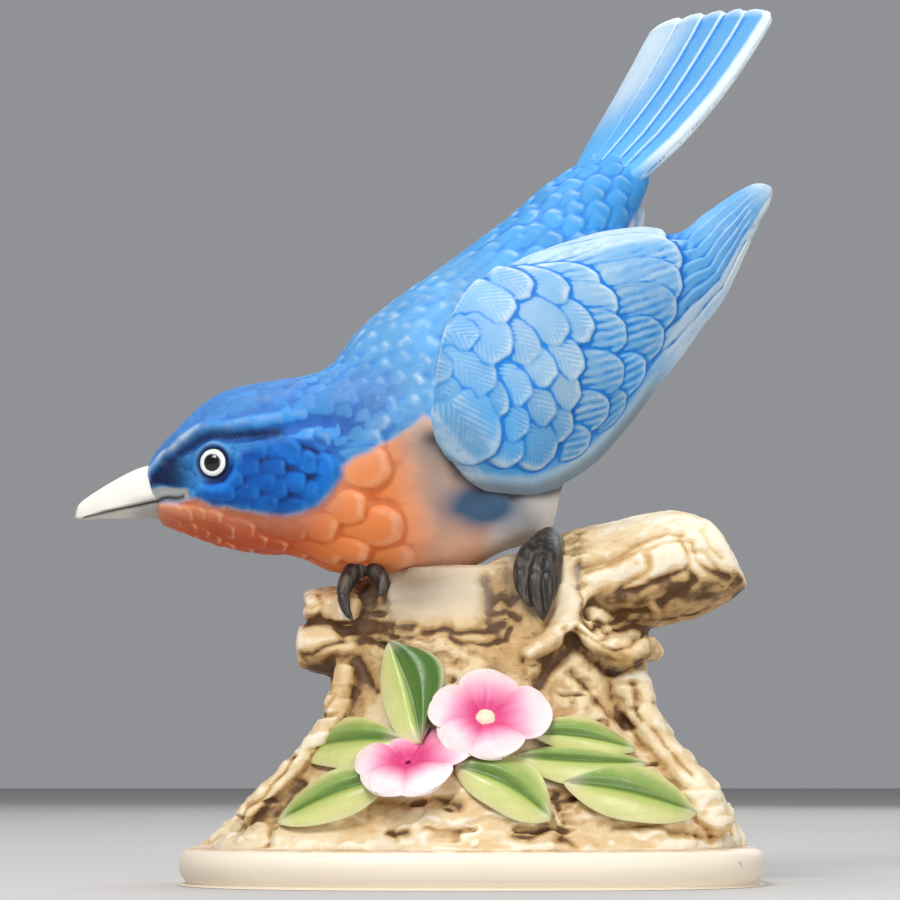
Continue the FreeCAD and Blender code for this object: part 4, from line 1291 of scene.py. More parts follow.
class FIGURINE_OT_plinth(bpy.types.Operator):
    """Model the oval plinth with its rolled rim"""
    bl_idname = "figurine.plinth"
    bl_label = "Plinth"

    def execute(self, context):
        # rise as a share of the plinth's height, inset in millimetres
        rim = ((0.0, 34.0), (0.0, 2.4), (0.07, 1.3), (0.30, 0.35), (0.55, 0.0), (0.78, 0.30),
               (0.93, 1.1), (1.0, 2.6), (1.0, 8.0))

        def place(u, v):
            rise, inset = spline(rim, u * (len(rim) - 1)).T
            inset = np.clip(inset, 0, PLINTH_HALF[1] - 2)
            a = 2 * np.pi * v
            x = fuller(np.cos(a), 2 / PLINTH_OVAL) * (PLINTH_HALF[0] - inset)
            y = fuller(np.sin(a), 2 / PLINTH_OVAL) * (PLINTH_HALF[1] - inset)
            wave = 0.10 * np.sin(5 * a) * np.sin(np.pi * u) + 0.07 * np.sin(11 * a + 1) * u
            return np.stack([x, y, np.clip(rise, 0, 1) * PLINTH_TOP + wave * (u > 0.35)], 1)

        mesh = skin("plinth_body", 70, 260, place)
        p = read(mesh) / MM
        mark(mesh, wash=0.75 * smooth((p[:, 2] - 6.1) / 0.5))
        settle(add_object("plinth_body", mesh), paint_plinth(), "cream_bisque", "base_plinth")
        return {"FINISHED"}


def stump_row(height):
    rows = np.asarray(STUMP)
    return spline(rows, np.interp(height, rows[:, 0], np.arange(len(rows))))


def front_of_stump(x, z):
    """How far forward the stump's plain form comes at a place seen from the front."""
    row = stump_row(np.clip(z - PLINTH_TOP, 0, 49))
    half = np.where(x < 0, row[:, 1], row[:, 2])
    return -row[:, 3] * np.sqrt(np.clip(1 - (x / half) ** 2, 0.02, 1))


# Lumps laid on the stump before it is smoothed over: x, y, z and radius along each.
ROOTS = (
    ((19.0, -12.5, 46.0, 2.6), (21.5, -15.0, 43.0, 3.0), (25.5, -15.6, 41.0, 3.3),
     (29.6, -12.0, 41.2, 3.2), (31.6, -6.0, 41.5, 2.4)),
    ((17.6, -9.0, 54.0, 3.0), (17.4, -12.0, 49.0, 3.2), (14.5, -14.2, 43.5, 3.0), (8.5, -14.5, 39.5, 2.4)),
    ((27.0, -12.0, 38.0, 3.0), (29.0, -12.0, 31.0, 3.4), (34.0, -12.5, 23.0, 4.0),
     (40.0, -13.0, 15.5, 4.4), (43.5, -14.0, 9.0, 4.0)),
    ((-22.0, -10.0, 39.0, 2.6), (-23.5, -11.5, 33.0, 2.4), (-26.5, -13.0, 26.5, 2.8),
     (-33.0, -13.5, 18.5, 3.0), (-41.0, -14.0, 11.0, 2.8)),
    ((20.0, 13.0, 44.0, 3.0), (22.0, 15.5, 34.0, 3.0), (26.0, 18.0, 24.0, 3.4), (33.0, 20.0, 12.0, 3.6)),
    ((-16.0, 12.0, 44.0, 3.0), (-18.0, 15.0, 32.0, 2.8), (-24.0, 18.0, 20.0, 3.2),
     (-31.0, 21.0, 10.0, 3.4)),
    ((-0.5, -6.0, 52.0, 2.4), (4.0, -6.5, 54.2, 3.0), (9.0, -6.5, 56.0, 3.2), (15.0, -5.5, 57.2, 3.2)),
    ((2.0, 12.5, 46.0, 3.0), (1.0, 16.5, 34.0, 2.8), (4.0, 20.5, 22.0, 3.2), (3.0, 25.5, 11.0, 3.6)),
)
PAD = ((-15.0, -7.8, 49.2, 4.6), (-8.0, -8.6, 49.6, 4.8), (-1.5, -8.8, 50.4, 4.8), (2.6, -8.4, 50.8, 4.4))
# Logs: name, points along and around, then x, y, z, half width, half height and lean.
LOGS = (
    ("branch", 60, 48, ((4.0, 0.0, 48.5, 9.0, 6.0, 0), (18.0, -1.0, 53.0, 10.4, 9.2, 6),
                        (29.0, -1.5, 55.2, 10.4, 10.2, 12), (37.0, -2.5, 57.2, 9.9, 10.0, 20),
                        (42.5, -3.0, 58.4, 9.0, 8.9, 28), (46.6, -3.5, 59.0, 7.2, 6.6, 30))),
    ("knob", 40, 40, ((-12.0, 0.0, 47.0, 8.0, 6.0, 0), (-20.0, -1.5, 47.8, 8.8, 5.6, 0),
                      (-25.0, -2.5, 48.4, 7.8, 4.6, 0), (-30.4, -3.5, 49.0, 5.6, 3.4, 0))),
    ("lower_knob", 40, 40, ((-14.0, 0.0, 43.0, 8.0, 5.0, 0), (-22.0, -1.5, 42.0, 8.8, 5.4, 0),
                            (-27.0, -2.5, 41.8, 8.2, 4.8, 0), (-31.4, -3.5, 42.2, 6.0, 3.8, 0))),
)
# Carved lines on the stump: width, depth, then x and z along each.
GROOVES = (
    (0.75, 1.2, ((19.0, 55.6), (24.6, 56.6), (30.0, 60.2), (34.5, 62.4), (37.5, 62.0))),
    (0.60, 0.9, ((20.5, 54.8), (23.6, 55.6), (30.0, 59.0), (31.4, 57.7), (31.6, 55.6), (30.3, 54.3),
                 (27.2, 52.3), (26.7, 51.3), (29.3, 51.6), (35.0, 53.9))),
    (0.60, 0.9, ((31.4, 58.8), (34.5, 60.3), (37.0, 60.8), (38.3, 59.0), (38.6, 57.0), (38.0, 55.3),
                 (35.0, 54.3), (31.9, 53.2))),
    (0.65, 1.0, ((38.4, 55.8), (39.6, 53.6), (38.6, 52.0), (35.0, 50.2), (33.6, 49.2))),
    (0.55, 0.8, ((37.0, 60.9), (39.8, 60.2), (39.8, 56.9), (42.2, 55.2), (45.4, 54.2))),
    (0.50, 0.5, ((41.5, 62.5), (42.6, 59.5), (44.8, 57.4))),
    (0.50, 0.5, ((39.8, 58.4), (42.0, 58.2), (43.6, 56.0))),
    (0.80, 1.4, ((18.8, 56.5), (19.3, 52.7), (20.1, 49.6), (20.4, 46.8), (21.4, 45.0))),
    (0.70, 1.0, ((21.5, 45.0), (24.1, 46.2), (27.5, 47.4), (31.0, 47.6))),
    (0.65, 0.9, ((22.0, 42.9), (24.6, 44.4), (28.4, 45.6), (31.5, 44.6))),
    (0.80, 1.5, ((17.8, 43.0), (20.5, 40.2), (23.6, 38.2), (25.8, 37.0), (28.4, 37.6), (30.8, 39.6),
                 (32.6, 41.9))),
    (0.60, 0.9, ((18.9, 44.5), (21.0, 42.4), (24.6, 41.0), (27.2, 41.9), (29.6, 43.2), (30.2, 44.6))),
    (0.85, 1.6, ((11.6, 34.6), (13.4, 37.0), (15.4, 39.0), (18.1, 41.3))),
    (0.60, 0.8, ((-7.8, 44.2), (-3.9, 44.6), (-1.8, 44.2), (2.8, 44.6), (6.0, 45.6))),
    (0.50, 0.7, ((-3.4, 43.3), (-0.8, 42.4), (2.8, 42.0), (6.5, 43.0), (7.2, 44.6))),
    (0.90, 1.5, ((-22.8, 44.4), (-19.5, 45.2), (-17.4, 45.6), (-14.2, 46.0), (-10.5, 45.4))),
    (0.60, 0.9, ((-23.0, 42.9), (-18.9, 43.0), (-15.5, 42.0))),
    (1.00, 1.1, ((2.9, 53.5), (3.3, 50.0), (3.2, 46.4))),
    (0.90, 1.2, ((5.0, 50.0), (7.4, 49.7), (9.0, 51.0))),
    (0.70, 0.9, ((8.6, 46.5), (6.9, 47.8), (4.6, 47.5))),
    (1.10, 1.4, ((-19.6, 53.5), (-18.4, 50.0), (-19.0, 46.5))),
    (0.70, 1.1, ((-30.3, 46.1), (-27.7, 46.5), (-25.1, 46.1), (-22.4, 44.4))),
    (0.60, 1.0, ((-30.6, 40.6), (-28.0, 40.3), (-26.2, 41.3), (-23.0, 42.8))),
    (0.55, 0.7, ((-27.6, 51.6), (-26.4, 49.2), (-27.6, 46.8))),
    (0.55, 0.7, ((-30.6, 49.4), (-28.4, 49.0), (-26.6, 49.6))),
    (0.80, 1.0, ((-20.0, 39.8), (-18.9, 37.2), (-16.6, 33.8))),
    (0.60, 0.8, ((-30.9, 22.4), (-34.8, 17.3), (-38.8, 13.4), (-40.8, 9.9))),
    (0.60, 0.8, ((-29.0, 17.5), (-33.0, 13.8), (-35.5, 9.8), (-36.4, 7.0))),
    (0.60, 0.8, ((-36.0, 19.5), (-39.6, 15.6), (-43.0, 12.2))),
    (0.60, 0.7, ((-24.0, 33.0), (-26.4, 30.2), (-28.8, 27.6))),
    (0.80, 0.9, ((13.6, 15.4), (15.6, 12.0), (15.4, 8.6), (18.2, 7.0))),
    (0.80, 0.9, ((28.6, 34.6), (29.4, 30.0), (33.6, 25.0), (38.6, 20.0))),
    (0.70, 0.7, ((18.0, 37.6), (21.4, 33.8), (24.0, 30.2), (28.5, 27.4))),
    (0.60, 0.6, ((34.6, 17.6), (38.4, 12.6), (41.8, 8.4))),
    (0.80, 0.8, ((-16.5, 15.0), (-11.5, 14.0), (-6.5, 15.6), (-2.0, 14.2))),
    (0.70, 0.8, ((-14.5, 10.0), (-12.5, 9.5), (-10.6, 10.2))),
    (0.70, 0.8, ((7.6, 9.8), (10.0, 9.2), (12.4, 9.9))),
    (0.70, 0.7, ((24.0, 10.6), (27.5, 10.2), (31.5, 10.8), (36.0, 9.4), (40.0, 8.8))),
)
# Brown airbrushed places on the stump: x, z, reach sideways and upward, strength.
WASHES = (
    (5.4, 49.5, 3.0, 5.5, 1.0), (-18.4, 49.5, 2.8, 4.6, 1.1), (-17.5, 44.2, 6.0, 1.6, 0.9),
    (-12.0, 42.6, 3.0, 2.6, 0.7), (-2.0, 41.6, 10.0, 2.6, 0.45), (1.0, 44.5, 9.0, 1.2, 0.5),
    (12.5, 36.0, 3.5, 4.0, 0.65), (24.0, 31.0, 8.0, 3.2, 0.4), (16.0, 8.6, 3.0, 1.8, 1.0),
    (15.6, 13.4, 2.4, 2.6, 1.0), (-12.5, 9.8, 3.6, 0.9, 1.1), (10.0, 9.5, 3.2, 0.9, 1.1),
    (-8.0, 14.4, 9.0, 1.8, 0.6), (36.0, 9.4, 5.0, 1.3, 0.6), (-36.0, 12.5, 7.0, 4.0, 0.55),
    (27.0, 10.4, 6.0, 1.2, 0.5), (-31.0, 22.0, 3.0, 4.0, 0.45), (-21.0, 31.5, 2.6, 3.0, 0.6),
    (-18.8, 38.0, 2.0, 5.0, 0.6), (-27.6, 38.8, 4.0, 2.2, 0.8), (22.4, 45.2, 2.4, 1.6, 0.7),
    (24.0, 60.4, 7.0, 1.8, 0.6), (30.5, 43.0, 2.0, 1.6, 0.7), (20.0, 57.0, 2.5, 3.0, 0.5),
    (0.0, 6.8, 60.0, 0.5, 0.5),
)


def log_place(rows):
    """A log along X through the rows of LOGS, with rounded ends."""
    rows = np.asarray(rows, float)

    def place(u, v):
        row = spline(rows, u * (len(rows) - 1))
        end = rounded(np.minimum(u, 1 - u), 0.05, 0.001)
        a, lean = 2 * np.pi * v, np.radians(row[:, 5])
        up = row[:, 4] * np.sin(a) * end
        return np.stack([row[:, 0] - up * np.sin(lean), row[:, 1] + row[:, 3] * np.cos(a) * end,
                         row[:, 2] + up * np.cos(lean)], 1)

    return place


def trunk(u, v):
    """The flaring trunk, fluted round its foot."""
    row = stump_row(u * STUMP[-1][0])
    a = 2 * np.pi * v
    c, s = np.cos(a), np.sin(a)
    flow = 1 + 0.025 * np.sin(7 * a + 1.6 * u) + 0.012 * np.sin(13 * a - 2.0 * u)
    x = c * np.where(c > 0, row[:, 2], row[:, 1]) * flow
    y = s * np.where(s > 0, row[:, 4], row[:, 3]) * flow
    return np.stack([x, y, PLINTH_TOP - 0.4 + row[:, 0] + 0.4 * u], 1)


def carve_bark(mesh, depth):
    """Cuts the grooves, plates and dashes of the bark and marks where the wash lies, with painted shade on
    faces that turn downward and painted shadow under the bird.
    """
    p, n = read(mesh) / MM, read(mesh, "normal")
    wander = np.stack([value_noise(p, 2.6, k) for k in (40, 41, 42)], 1) * 0.45
    x, y, z = (p + wander).T
    x = x + 0.6 * np.sin(p[:, 1] * 0.35)
    on_branch = smooth((x - 19) / 3) * smooth((z - 45 - 0.15 * (x - 20)) / 3)
    on_knob = smooth((-22 - x) / 3) * smooth((z - 37) / 3)
    pad = inside(((-16, 56), (-14, 47.2), (-8, 46.8), (2.0, 47.0), (2.6, 56)), x, z, 2.2)
    pad = np.maximum(pad, 0.8 * near_line(x, z, ((17.6, 54.5), (17.2, 47.5), (12.0, 42.5)), 1.9))
    plain = np.clip(1 - 0.85 * pad, 0, 1)
    height = np.zeros(len(p))
    carved = np.zeros(len(p))
    for width, deep, line in GROOVES:
        height -= 1.3 * deep * near_line(x, z, line, width * 1.2)
        carved = np.maximum(carved, min(deep, 1.0) * near_line(x, z, line, width * 0.62))
    height = -CROSSING_DEPTH * (1 - np.exp(height / CROSSING_DEPTH)) * depth / BARK_DEPTH
    height *= 0.72 + 0.35 * value_noise(p, 5.0, 48)
    # bark away from the carved front: plates on the branch, low ridges on the trunk
    behind = smooth((y + 3) / 6)
    plates = smooth(cell_borders(p + wander * 3, (12.0, 9.0, 6.5), 11) / 0.22) - 1
    height += 0.9 * plates * (on_branch * (0.12 + 0.88 * behind) + on_knob * 0.35) * depth
    trunk_part = np.clip(1 - on_branch - on_knob, 0, 1) * plain
    lie = smooth((24 - z) / 10)
    stand = layered_noise(p * (1.0, 1.0, 0.42), 5.0, 60, 4)
    flat = layered_noise(p * (0.42, 0.7, 1.0), 3.6, 64, 4)
    height += trunk_part * (0.75 * (1 - lie) * stand + 0.62 * lie * flat) * depth
    dashes = smooth((value_noise(p * (0.34, 0.6, 1.0) + wander, 1.5, 50) - 0.30) / 0.35)
    patchy = smooth((value_noise(p, 9.0, 52) + 0.25) / 0.6)
    dashes = dashes * patchy * trunk_part
    height -= 0.55 * dashes * depth
    height += 0.22 * layered_noise(p, 2.4, 80, 3) * plain
    chips = smooth((layered_noise(p * (0.6, 0.8, 1.0) + wander, 3.2, 90, 2) - 0.05) / 0.25)
    height += 0.42 * chips * trunk_part * depth
    height += 0.40 * layered_noise(p, 9.0, 82, 2) * plain
    foot = smooth((p[:, 2] - PLINTH_TOP + 0.3) / 1.5)
    write(mesh, (p + n * (height * foot)[:, None]) * MM)
    mark_hollows(mesh, 4, 40)
    # brown wash on the bark, with painted shade on faces that turn downward, strongest under the branch
    wash_and_shade = (0.65 + 1.1 * on_branch) * smooth((-n[:, 2] - 0.02) / 0.45) + 0.60 * dashes
    wash_and_shade = wash_and_shade + 0.22 * smooth((z - 26) / 10) * (1 - on_branch) * plain
    for cx, cz, rx, rz, strong in WASHES:
        wash_and_shade = wash_and_shade + strong * dab(x, z, cx, cz, rx, rz)
    wash_and_shade = wash_and_shade * (0.75 + 0.5 * layered_noise(p, 4.0, 85, 3)) - 0.20 * on_branch - 0.10
    wash_and_shade = wash_and_shade + 0.10 * trunk_part * smooth((z - 12) / 8) + 0.52 * carved * smooth((3 - y) / 4)
    wash_and_shade = wash_and_shade - 0.16 * smooth((14 - z) / 5)
    # painted shadow under the bird: on the pad below the belly, and a second patch to its right
    soot = 0.80 * dab(x, z, -10.0, 52.6, 9.5, 4.6) * smooth((-2 - y) / 3)
    soot = soot + 0.6 * dab(x, z, 9.5, 54.5, 4.5, 6.0)
    mark(mesh, wash=wash_and_shade, smooth_pad=0.80 * pad * smooth((z - 45.5) / 2), soot=soot)


def paint_bark():
    h = hues()
    p = Paint("bark_bisque")
    crease, hollow = p.value("crease"), p.value("hollow")
    cloud = p.noise(13.0, 4.0)
    streak = p.noise(3.4, 5.0, 0.62, stretch=(0.45, 1.0, 1.0), distort=0.6)
    grit = p.noise(0.6, 5.0, 0.7)
    cracks = p.noise(1.5, 4.0, 0.7, stretch=(0.5, 1.0, 1.0), distort=1.4)
    tone = p.mix(p.span(cloud, 0.36, 0.64), h.ivory, (0.680, 0.475, 0.240))
    low = p.plus(p.times(crease, 2.2), p.times(hollow, 0.60))
    low = p.plus(low, p.times(p.maths("SUBTRACT", streak, 0.5), 1.5))
    # the wash attribute holds the brown wash together with the painted shade on downward faces
    low = p.plus(low, p.value("wash"))
    tone = p.mix(p.span(low, -0.02, 0.46, 0.0, 0.92), tone, h.tan)
    tone = p.mix(p.span(low, 0.42, 1.10, 0.0, 0.97), tone, h.brown)
    tone = p.mix(p.times(p.span(cracks, 0.60, 0.68), p.span(low, 0.08, 0.5, 0.0, 0.85)), tone, h.brown)
    tone = p.mix(p.span(low, -0.12, -0.55, 0.0, 0.85), tone, (0.88, 0.80, 0.64))
    tone = p.mix(p.value("smooth_pad"), tone, (0.78, 0.66, 0.48))
    # painted shadow under the bird
    tone = p.mix(p.value("soot"), tone, (0.16, 0.12, 0.09))
    normal = p.bump(streak, 0.22, p.bump(cracks, 0.12, p.bump(grit, 0.05)), 0.8)
    return p.finish(tone, p.span(streak, 0.3, 0.7, 0.42, 0.60), normal, specular=0.34)


class FIGURINE_OT_stump(bpy.types.Operator):
    """Model the stump with its branch, knob and roots"""
    bl_idname = "figurine.stump"
    bl_label = "Stump"

    def execute(self, context):
        parts = [skin("trunk", 90, 140, trunk)]
        parts += [skin(name, along, around, log_place(rows)) for name, along, around, rows in LOGS]
        parts.append(tube("pad", PAD, 28, 40))
        parts += [tube("root", path, 20, 60, 0.75) for path in ROOTS]
        piece = merged("stump_skin", parts, 0.44, 4)
        carve_bark(piece.data, sizes().bark_depth / MM)
        settle(piece, paint_bark(), "bark_bisque", "stump", "branch_right", "branch_left")
        return {"FINISHED"}


# ---- leaves -----------------------------------------------------------------------
def paint_leaf():
    h = hues()
    p = Paint("leaf_glaze")
    u, f = p.value("leaf_along"), p.value("leaf_across")
    cloud = p.noise(4.0, 4.0)
    fine = p.noise(1.1, 4.0, 0.65)
    side = p.maths("ABSOLUTE", p.maths("MULTIPLY_ADD", p.maths("SUBTRACT", cloud, 0.5), 0.10, f))
    tone = p.mix(p.span(side, 0.05, 0.70), (0.360, 0.450, 0.100), h.leaf_light)
    tone = p.mix(p.span(cloud, 0.3, 0.75, 0.0, 0.45), tone, (0.460, 0.540, 0.150))
    shade = p.times(p.value("dark_half"), p.span(cloud, 0.2, 0.6, 0.6, 1.0))
    tone = p.mix(shade, tone, (0.130, 0.270, 0.045))
    tone = p.mix(p.value("darkest"), tone, h.leaf_dark)
    tone = p.mix(p.span(side, 0.0, 0.20, 0.85, 0.0), tone, (0.060, 0.150, 0.018))
    tone = p.mix(p.span(side, 0.80, 1.0, 0.0, 0.70), tone, (0.66, 0.66, 0.38))
    tone = p.mix(p.span(u, 0.84, 1.0, 0.0, 0.60), tone, (0.74, 0.70, 0.50))
    tone = p.mix(p.times(p.span(u, 0.22, 0.0), 0.5), tone, (0.78, 0.62, 0.52))
    tone = p.mix(p.span(fine, 0.62, 0.78, 0.0, 0.3), tone, (0.16, 0.20, 0.05))
    normal = p.bump(fine, 0.06, p.bump(cloud, 0.16))
    rough = p.span(cloud, 0.3, 0.7, 0.26, 0.42)
    return p.finish(tone, rough, normal, specular=0.45, coat=0.12)


class FIGURINE_OT_leaves(bpy.types.Operator):
    """Model the glazed leaves that lie on the stump"""
    bl_idname = "figurine.leaves"
    bl_label = "Leaves"

    def execute(self, context):
        material = paint_leaf()
        thick = sizes().leaf_thick / MM
        for number, (x0, z0, x1, z1, over, under, stand, bow, wide_up, wide_low) in enumerate(LEAVES, 1):
            run = np.array((x1 - x0, z1 - z0))
            long = float(np.linalg.norm(run))
            run = run / long
            side = np.array((-run[1], run[0]))
            if side[1] < 0 or (abs(side[1]) < 0.3 and side[0] > 0):
                side = -side
            seed = number * 1.7

            def place(u, v):
                a = 2 * np.pi * v
                f = -np.cos(a)
                g = fuller(np.sin(a), 0.55)
                power = math.log(0.5) / np.log(np.where(f > 0, wide_up, wide_low))
                width = np.sin(np.pi * np.clip(u, 0, 1) ** power) ** 0.70
                half = np.where(f > 0, over, under) * (width + 0.004)
                half = half * (1 + 0.035 * np.sin(u * 9 + seed) * np.abs(f))
                bend = bow * np.sin(np.pi * u)
                across = f * half + bend
                x = x0 + run[0] * u * long + side[0] * across
                z = z0 + run[1] * u * long + side[1] * across
                crease = -0.85 * np.exp(-(f / 0.20) ** 2) * np.sin(np.pi * np.clip(u * 1.05, 0, 1)) ** 0.5
                dome = 1.15 * (1 - f * f) * np.sin(np.pi * u) ** 0.6
                dome = dome + (0.9 if number == 1 else 0.35) * smooth(f / 0.3) * smooth((1.0 - f) / 0.5)
                ruffle = 0.22 * np.sin(u * 8 + seed * 2) * f * f * np.sign(f)
                lift = stand + dome + crease + ruffle + 0.4 * u * u
                body = thick * (0.35 + 0.65 * (1 - f * f)) * (0.25 + 0.75 * np.sin(np.pi * u) ** 0.5)
                y = front_of_stump(x, z)
                lift = lift + g * body * 0.5 - np.where(g < 0, 1.6 * (1 - f * f) * -g, 0)
                return np.stack([x, y - lift * 0.92, z + lift * 0.38], 1)

            name = "leaf_%d" % number
            mesh = skin(name + "_skin", 110, 96, place)
            u, v = read_value(mesh, "u"), read_value(mesh, "v")
            f = -np.cos(2 * np.pi * v)
            if number == 1:
                dark, darkest = smooth((f + 0.15) / 0.3), 0.8 * smooth((f - 0.02) / 0.25)
            else:
                dark = (0.9 - 0.5 * u) * smooth((f + 0.05) / 0.25) * smooth((0.95 - f) / 0.5)
                darkest = 0.5 * np.exp(-((f - 0.14) / 0.14) ** 2) * smooth((0.85 - u) / 0.5)
            mark(mesh, leaf_along=u, leaf_across=f, dark_half=dark, darkest=darkest)
            settle(add_object(name + "_skin", mesh), material, "leaf_glaze", name)
        return {"FINISHED"}


# ---- blossoms ---------------------------------------------------------------------
# centre x, y, z; tilt up; turn; petals: direction, length, half width, lift
BLOSSOMS = (
    ("flower_upper", (2.2, -22.4, 28.4), 38, 2, (
        (84, 10.8, 5.0, 1.0), (158, 10.4, 4.9, 0.8), (218, 9.2, 4.6, 0.5), (286, 9.0, 5.0, 0.9),
        (8, 11.6, 5.6, 1.1))),
    ("flower_lower", (-11.0, -24.6, 20.8), 50, -14, (
        (112, 6.6, 3.7, 0.9), (174, 9.4, 4.8, 0.9), (244, 9.2, 5.0, 0.9), (310, 9.6, 5.2, 0.9),
        (34, 12.4, 5.6, 1.1))),
)


def paint_petal():
    h = hues()
    p = Paint("petal_bisque")
    u, f = p.value("petal_along"), p.value("petal_across")
    cloud = p.noise(3.5, 4.0)
    side = p.maths("ABSOLUTE", f)
    streak = p.maths("SINE", p.maths("MULTIPLY_ADD", f, 18.0, p.times(p.noise(2.0, 2.0), 6.0)))
    far = p.plus(u, p.times(p.maths("SUBTRACT", cloud, 0.5), 0.16))
    far = p.plus(far, p.times(side, 0.06))
    tone = p.mix(p.span(far, 0.16, 0.52), h.petal_deep, (0.800, 0.260, 0.420))
    tone = p.mix(p.span(far, 0.40, 0.84), tone, h.petal_pale)
    tone = p.mix(p.span(far, 0.80, 1.04, 0.0, 0.80), tone, (0.92, 0.84, 0.80))
    tone = p.mix(p.span(side, 0.80, 1.0, 0.0, 0.45), tone, (0.92, 0.80, 0.79))
    tone = p.mix(p.span(p.value("crease"), 0.02, 0.16, 0.0, 0.4), tone, (0.70, 0.22, 0.36))
    normal = p.bump(streak, 0.02, p.bump(cloud, 0.10))
    return p.finish(tone, p.span(cloud, 0.3, 0.7, 0.40, 0.52), normal, specular=0.4)


def paint_button():
    h = hues()
    p = Paint("button_bisque")
    lumps = p.noise(0.7, 3.0)
    tone = p.mix(p.span(lumps, 0.4, 0.7, 0.0, 0.5), h.button, (0.70, 0.52, 0.26))
    return p.finish(tone, 0.45, p.bump(lumps, 0.12), specular=0.4)


def build_button(centre, face, across, rise):
    """A lumpy button that sits in the blossom's throat."""
    bm = bmesh.new()
    bmesh.ops.create_icosphere(bm, subdivisions=5, radius=1.0 * MM)
    mesh = poured(bm, bpy.data.meshes.new("flower_button_skin"))
    q = read(mesh) / MM
    q = q * (1 + 0.07 * value_noise(q, 0.5, 3))[:, None]
    write(mesh, (centre + face * 1.0 + across * q[:, :1] * 1.75 + rise * q[:, 1:2] * 1.75
                 + face * q[:, 2:] * 1.1) * MM)
    weld(mesh)
    piece = add_object("flower_button_skin", mesh)
    settle(piece, paint_button(), "button_bisque", "flower_button")


class FIGURINE_OT_blossoms(bpy.types.Operator):
    """Model both blossoms, petal by petal, and the cream button"""
    bl_idname = "figurine.blossoms"
    bl_label = "Blossoms"

    def execute(self, context):
        material = paint_petal()
        thick = sizes().petal_thick / MM
        ruffle = sizes().petal_ruffle / MM
        for name, centre, tilt, turn, petals in BLOSSOMS:
            tilt, turn = math.radians(tilt), math.radians(turn)
            level = math.cos(tilt)
            face = np.array((math.sin(turn) * level, -math.cos(turn) * level, math.sin(tilt)))
            across = np.array((math.cos(turn), math.sin(turn), 0))
            rise = np.cross(across, face)
            rise = rise if rise[2] > 0 else -rise
            for number, (way, long, half, lift) in enumerate(petals, 1):
                a0 = math.radians(way)
                out = across * math.cos(a0) + rise * math.sin(a0)
                wide = across * -math.sin(a0) + rise * math.cos(a0)
                seed = number * 2.3 + tilt

                def place(u, v):
                    a = 2 * np.pi * v
                    f = -np.cos(a)
                    g = fuller(np.sin(a), 0.6)
                    w = half * (np.sin(np.pi * np.clip(u, 0, 1) ** 1.55) ** 0.52 + 0.30 * (1 - u) ** 2)
                    notch = 0.035 * np.exp(-(f / 0.25) ** 2) * u ** 4
                    x = 0.5 + (long - 0.5) * u * (1 - notch)
                    y = f * w
                    wave = 0.55 * ruffle * f * f * u * np.sin(u * 3 + f * 1.2 + seed)
                    cup = 0.5 + lift * (1.9 * u ** 1.4) - 1.3 * u ** 4
                    crease = -0.22 * np.exp(-(f / 0.12) ** 2) * (1 - u) * u * 3
                    bulge = 0.95 * (1 - f * f) * np.sin(np.pi * u)
                    body = thick * (0.38 + 0.62 * (1 - f * f))
                    body = body * (0.45 + 0.55 * np.sin(np.pi * np.clip(u, 0.06, 0.94)))
                    z = cup + wave + crease + bulge + 0.5 * body * g
                    return (np.array(centre) + out * x[:, None] + wide * y[:, None] + face * z[:, None])

                node = "%s_petal_%d" % (name, number)
                mesh = skin(node + "_skin", 80, 96, place)
                mark(mesh, petal_along=read_value(mesh, "u"),
                     petal_across=-np.cos(2 * np.pi * read_value(mesh, "v")))
                mark_hollows(mesh, 4, 24)
                settle(add_object(node + "_skin", mesh), material, "petal_bisque", node)
            if name == "flower_upper":
                build_button(np.array(centre), face, across, rise)
        return {"FINISHED"}


# ---- stage ------------------------------------------------------------------------
# The camera stands low in front, tipped up by a few degrees: metres, degrees.
CAMERA_AT, CAMERA_UP, LENS_MM = (-0.0039, -0.550, 0.020), 6.0, 122.16
# Soft lamps: name, place, width of the lamp, watts; all are turned to one point.
LIGHTS = (("key", (-0.30, -0.70, 0.80), 0.42, 7.8), ("fill", (0.52, -0.80, 0.18), 0.45, 3.6),
          ("top", (-0.1, 0.10, 1.1), 0.6, 6.0), ("back", (0.3, 0.9, 0.6), 0.8, 3.0))
LIT_POINT = (0.0, 0.0, 0.08)


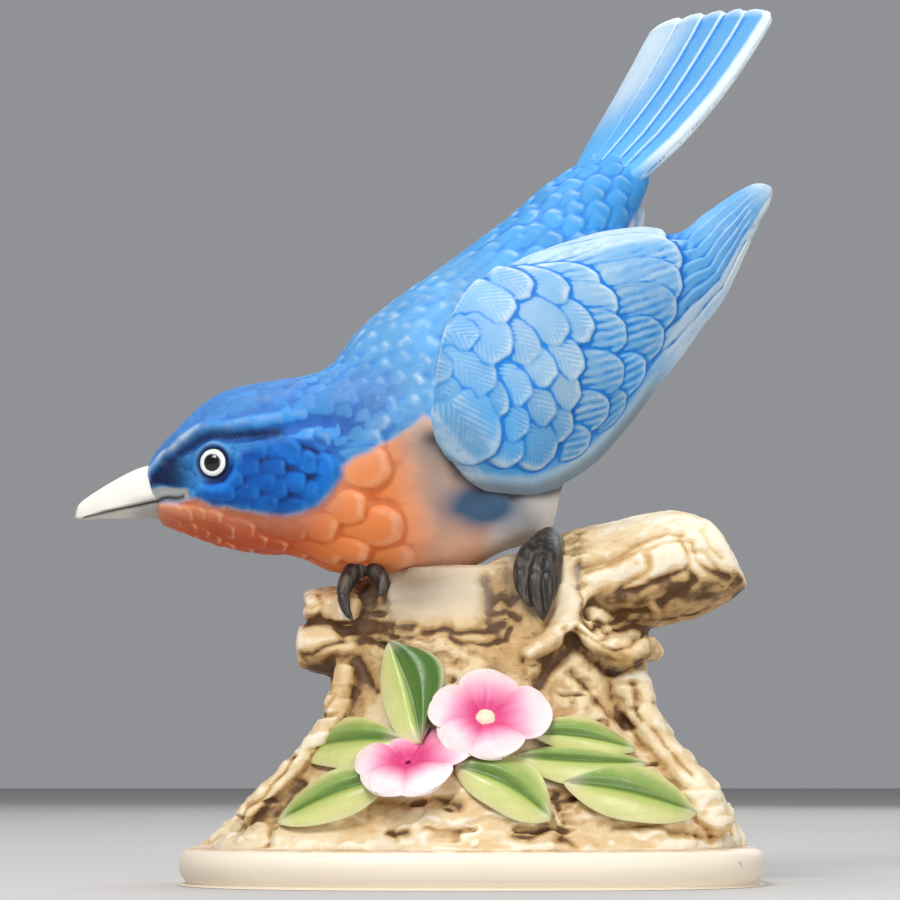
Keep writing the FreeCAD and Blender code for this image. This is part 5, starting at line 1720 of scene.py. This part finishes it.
class FIGURINE_OT_stage(bpy.types.Operator):
    """Set the pale floor, the soft lights and the camera"""
    bl_idname = "figurine.stage"
    bl_label = "Stage"

    def execute(self, context):
        scene = context.scene
        scene.view_settings.view_transform = "Standard"
        bm = bmesh.new()
        bmesh.ops.create_grid(bm, x_segments=1, y_segments=1, size=3.0)
        mesh = poured(bm, bpy.data.meshes.new("floor"))
        floor = add_object("floor", mesh)
        p = Paint("floor_paint")
        mesh.materials.append(p.finish((0.50, 0.49, 0.48), 0.8, specular=0.2))
        world = bpy.data.worlds.new("studio")
        scene.world = world
        world.use_nodes = True
        world.node_tree.nodes["Background"].inputs[0].default_value = (0.78, 0.80, 0.84, 1)
        world.node_tree.nodes["Background"].inputs[1].default_value = 0.36
        for name, spot, size, watts in LIGHTS:
            lamp = bpy.data.lights.new(name, "AREA")
            lamp.energy, lamp.size = watts, size
            light = bpy.data.objects.new(name, lamp)
            light.location = spot
            aim = Vector(LIT_POINT) - Vector(spot)
            light.rotation_euler = aim.to_track_quat("-Z", "Y").to_euler()
            scene.collection.objects.link(light)
        lens = bpy.data.cameras.new("camera")
        lens.lens, lens.sensor_width = LENS_MM, 36.0
        lens.clip_start, lens.clip_end = 0.01, 20.0
        camera = bpy.data.objects.new("camera", lens)
        camera.location = CAMERA_AT
        camera.rotation_euler = (math.radians(90 + CAMERA_UP), 0.0, 0.0)
        scene.collection.objects.link(camera)
        scene.camera = camera
        return {"FINISHED"}


OPERATORS = (FIGURINE_OT_plinth, FIGURINE_OT_stump, FIGURINE_OT_body, FIGURINE_OT_wings,
             FIGURINE_OT_tail, FIGURINE_OT_beak, FIGURINE_OT_eyes, FIGURINE_OT_feet,
             FIGURINE_OT_leaves, FIGURINE_OT_blossoms, FIGURINE_OT_stage)


class FIGURINE_PT_panel(bpy.types.Panel):
    """Lists the figurine's pieces in the order they are made"""
    bl_label = "Figurine"
    bl_space_type = "VIEW_3D"
    bl_region_type = "UI"
    bl_category = "Figurine"

    def draw(self, context):
        for kind in OPERATORS:
            self.layout.operator(kind.bl_idname)
        for group in (context.scene.figurine_sizes, context.scene.figurine_colours):
            for name in group.bl_rna.properties.keys():
                if name not in ("rna_type", "name"):
                    self.layout.prop(group, name)


CLASSES = (FigurineSizes, FigurineColours, *OPERATORS, FIGURINE_PT_panel)


def register():
    for kind in CLASSES:
        bpy.utils.register_class(kind)
    bpy.types.Scene.figurine_sizes = PointerProperty(type=FigurineSizes)
    bpy.types.Scene.figurine_colours = PointerProperty(type=FigurineColours)


def unregister():
    del bpy.types.Scene.figurine_colours
    del bpy.types.Scene.figurine_sizes
    for kind in reversed(CLASSES):
        bpy.utils.unregister_class(kind)


def main():
    register()
    for kind in OPERATORS:
        area, name = kind.bl_idname.split(".")
        getattr(getattr(bpy.ops, area), name)()


if __name__ == "__main__":
    main()
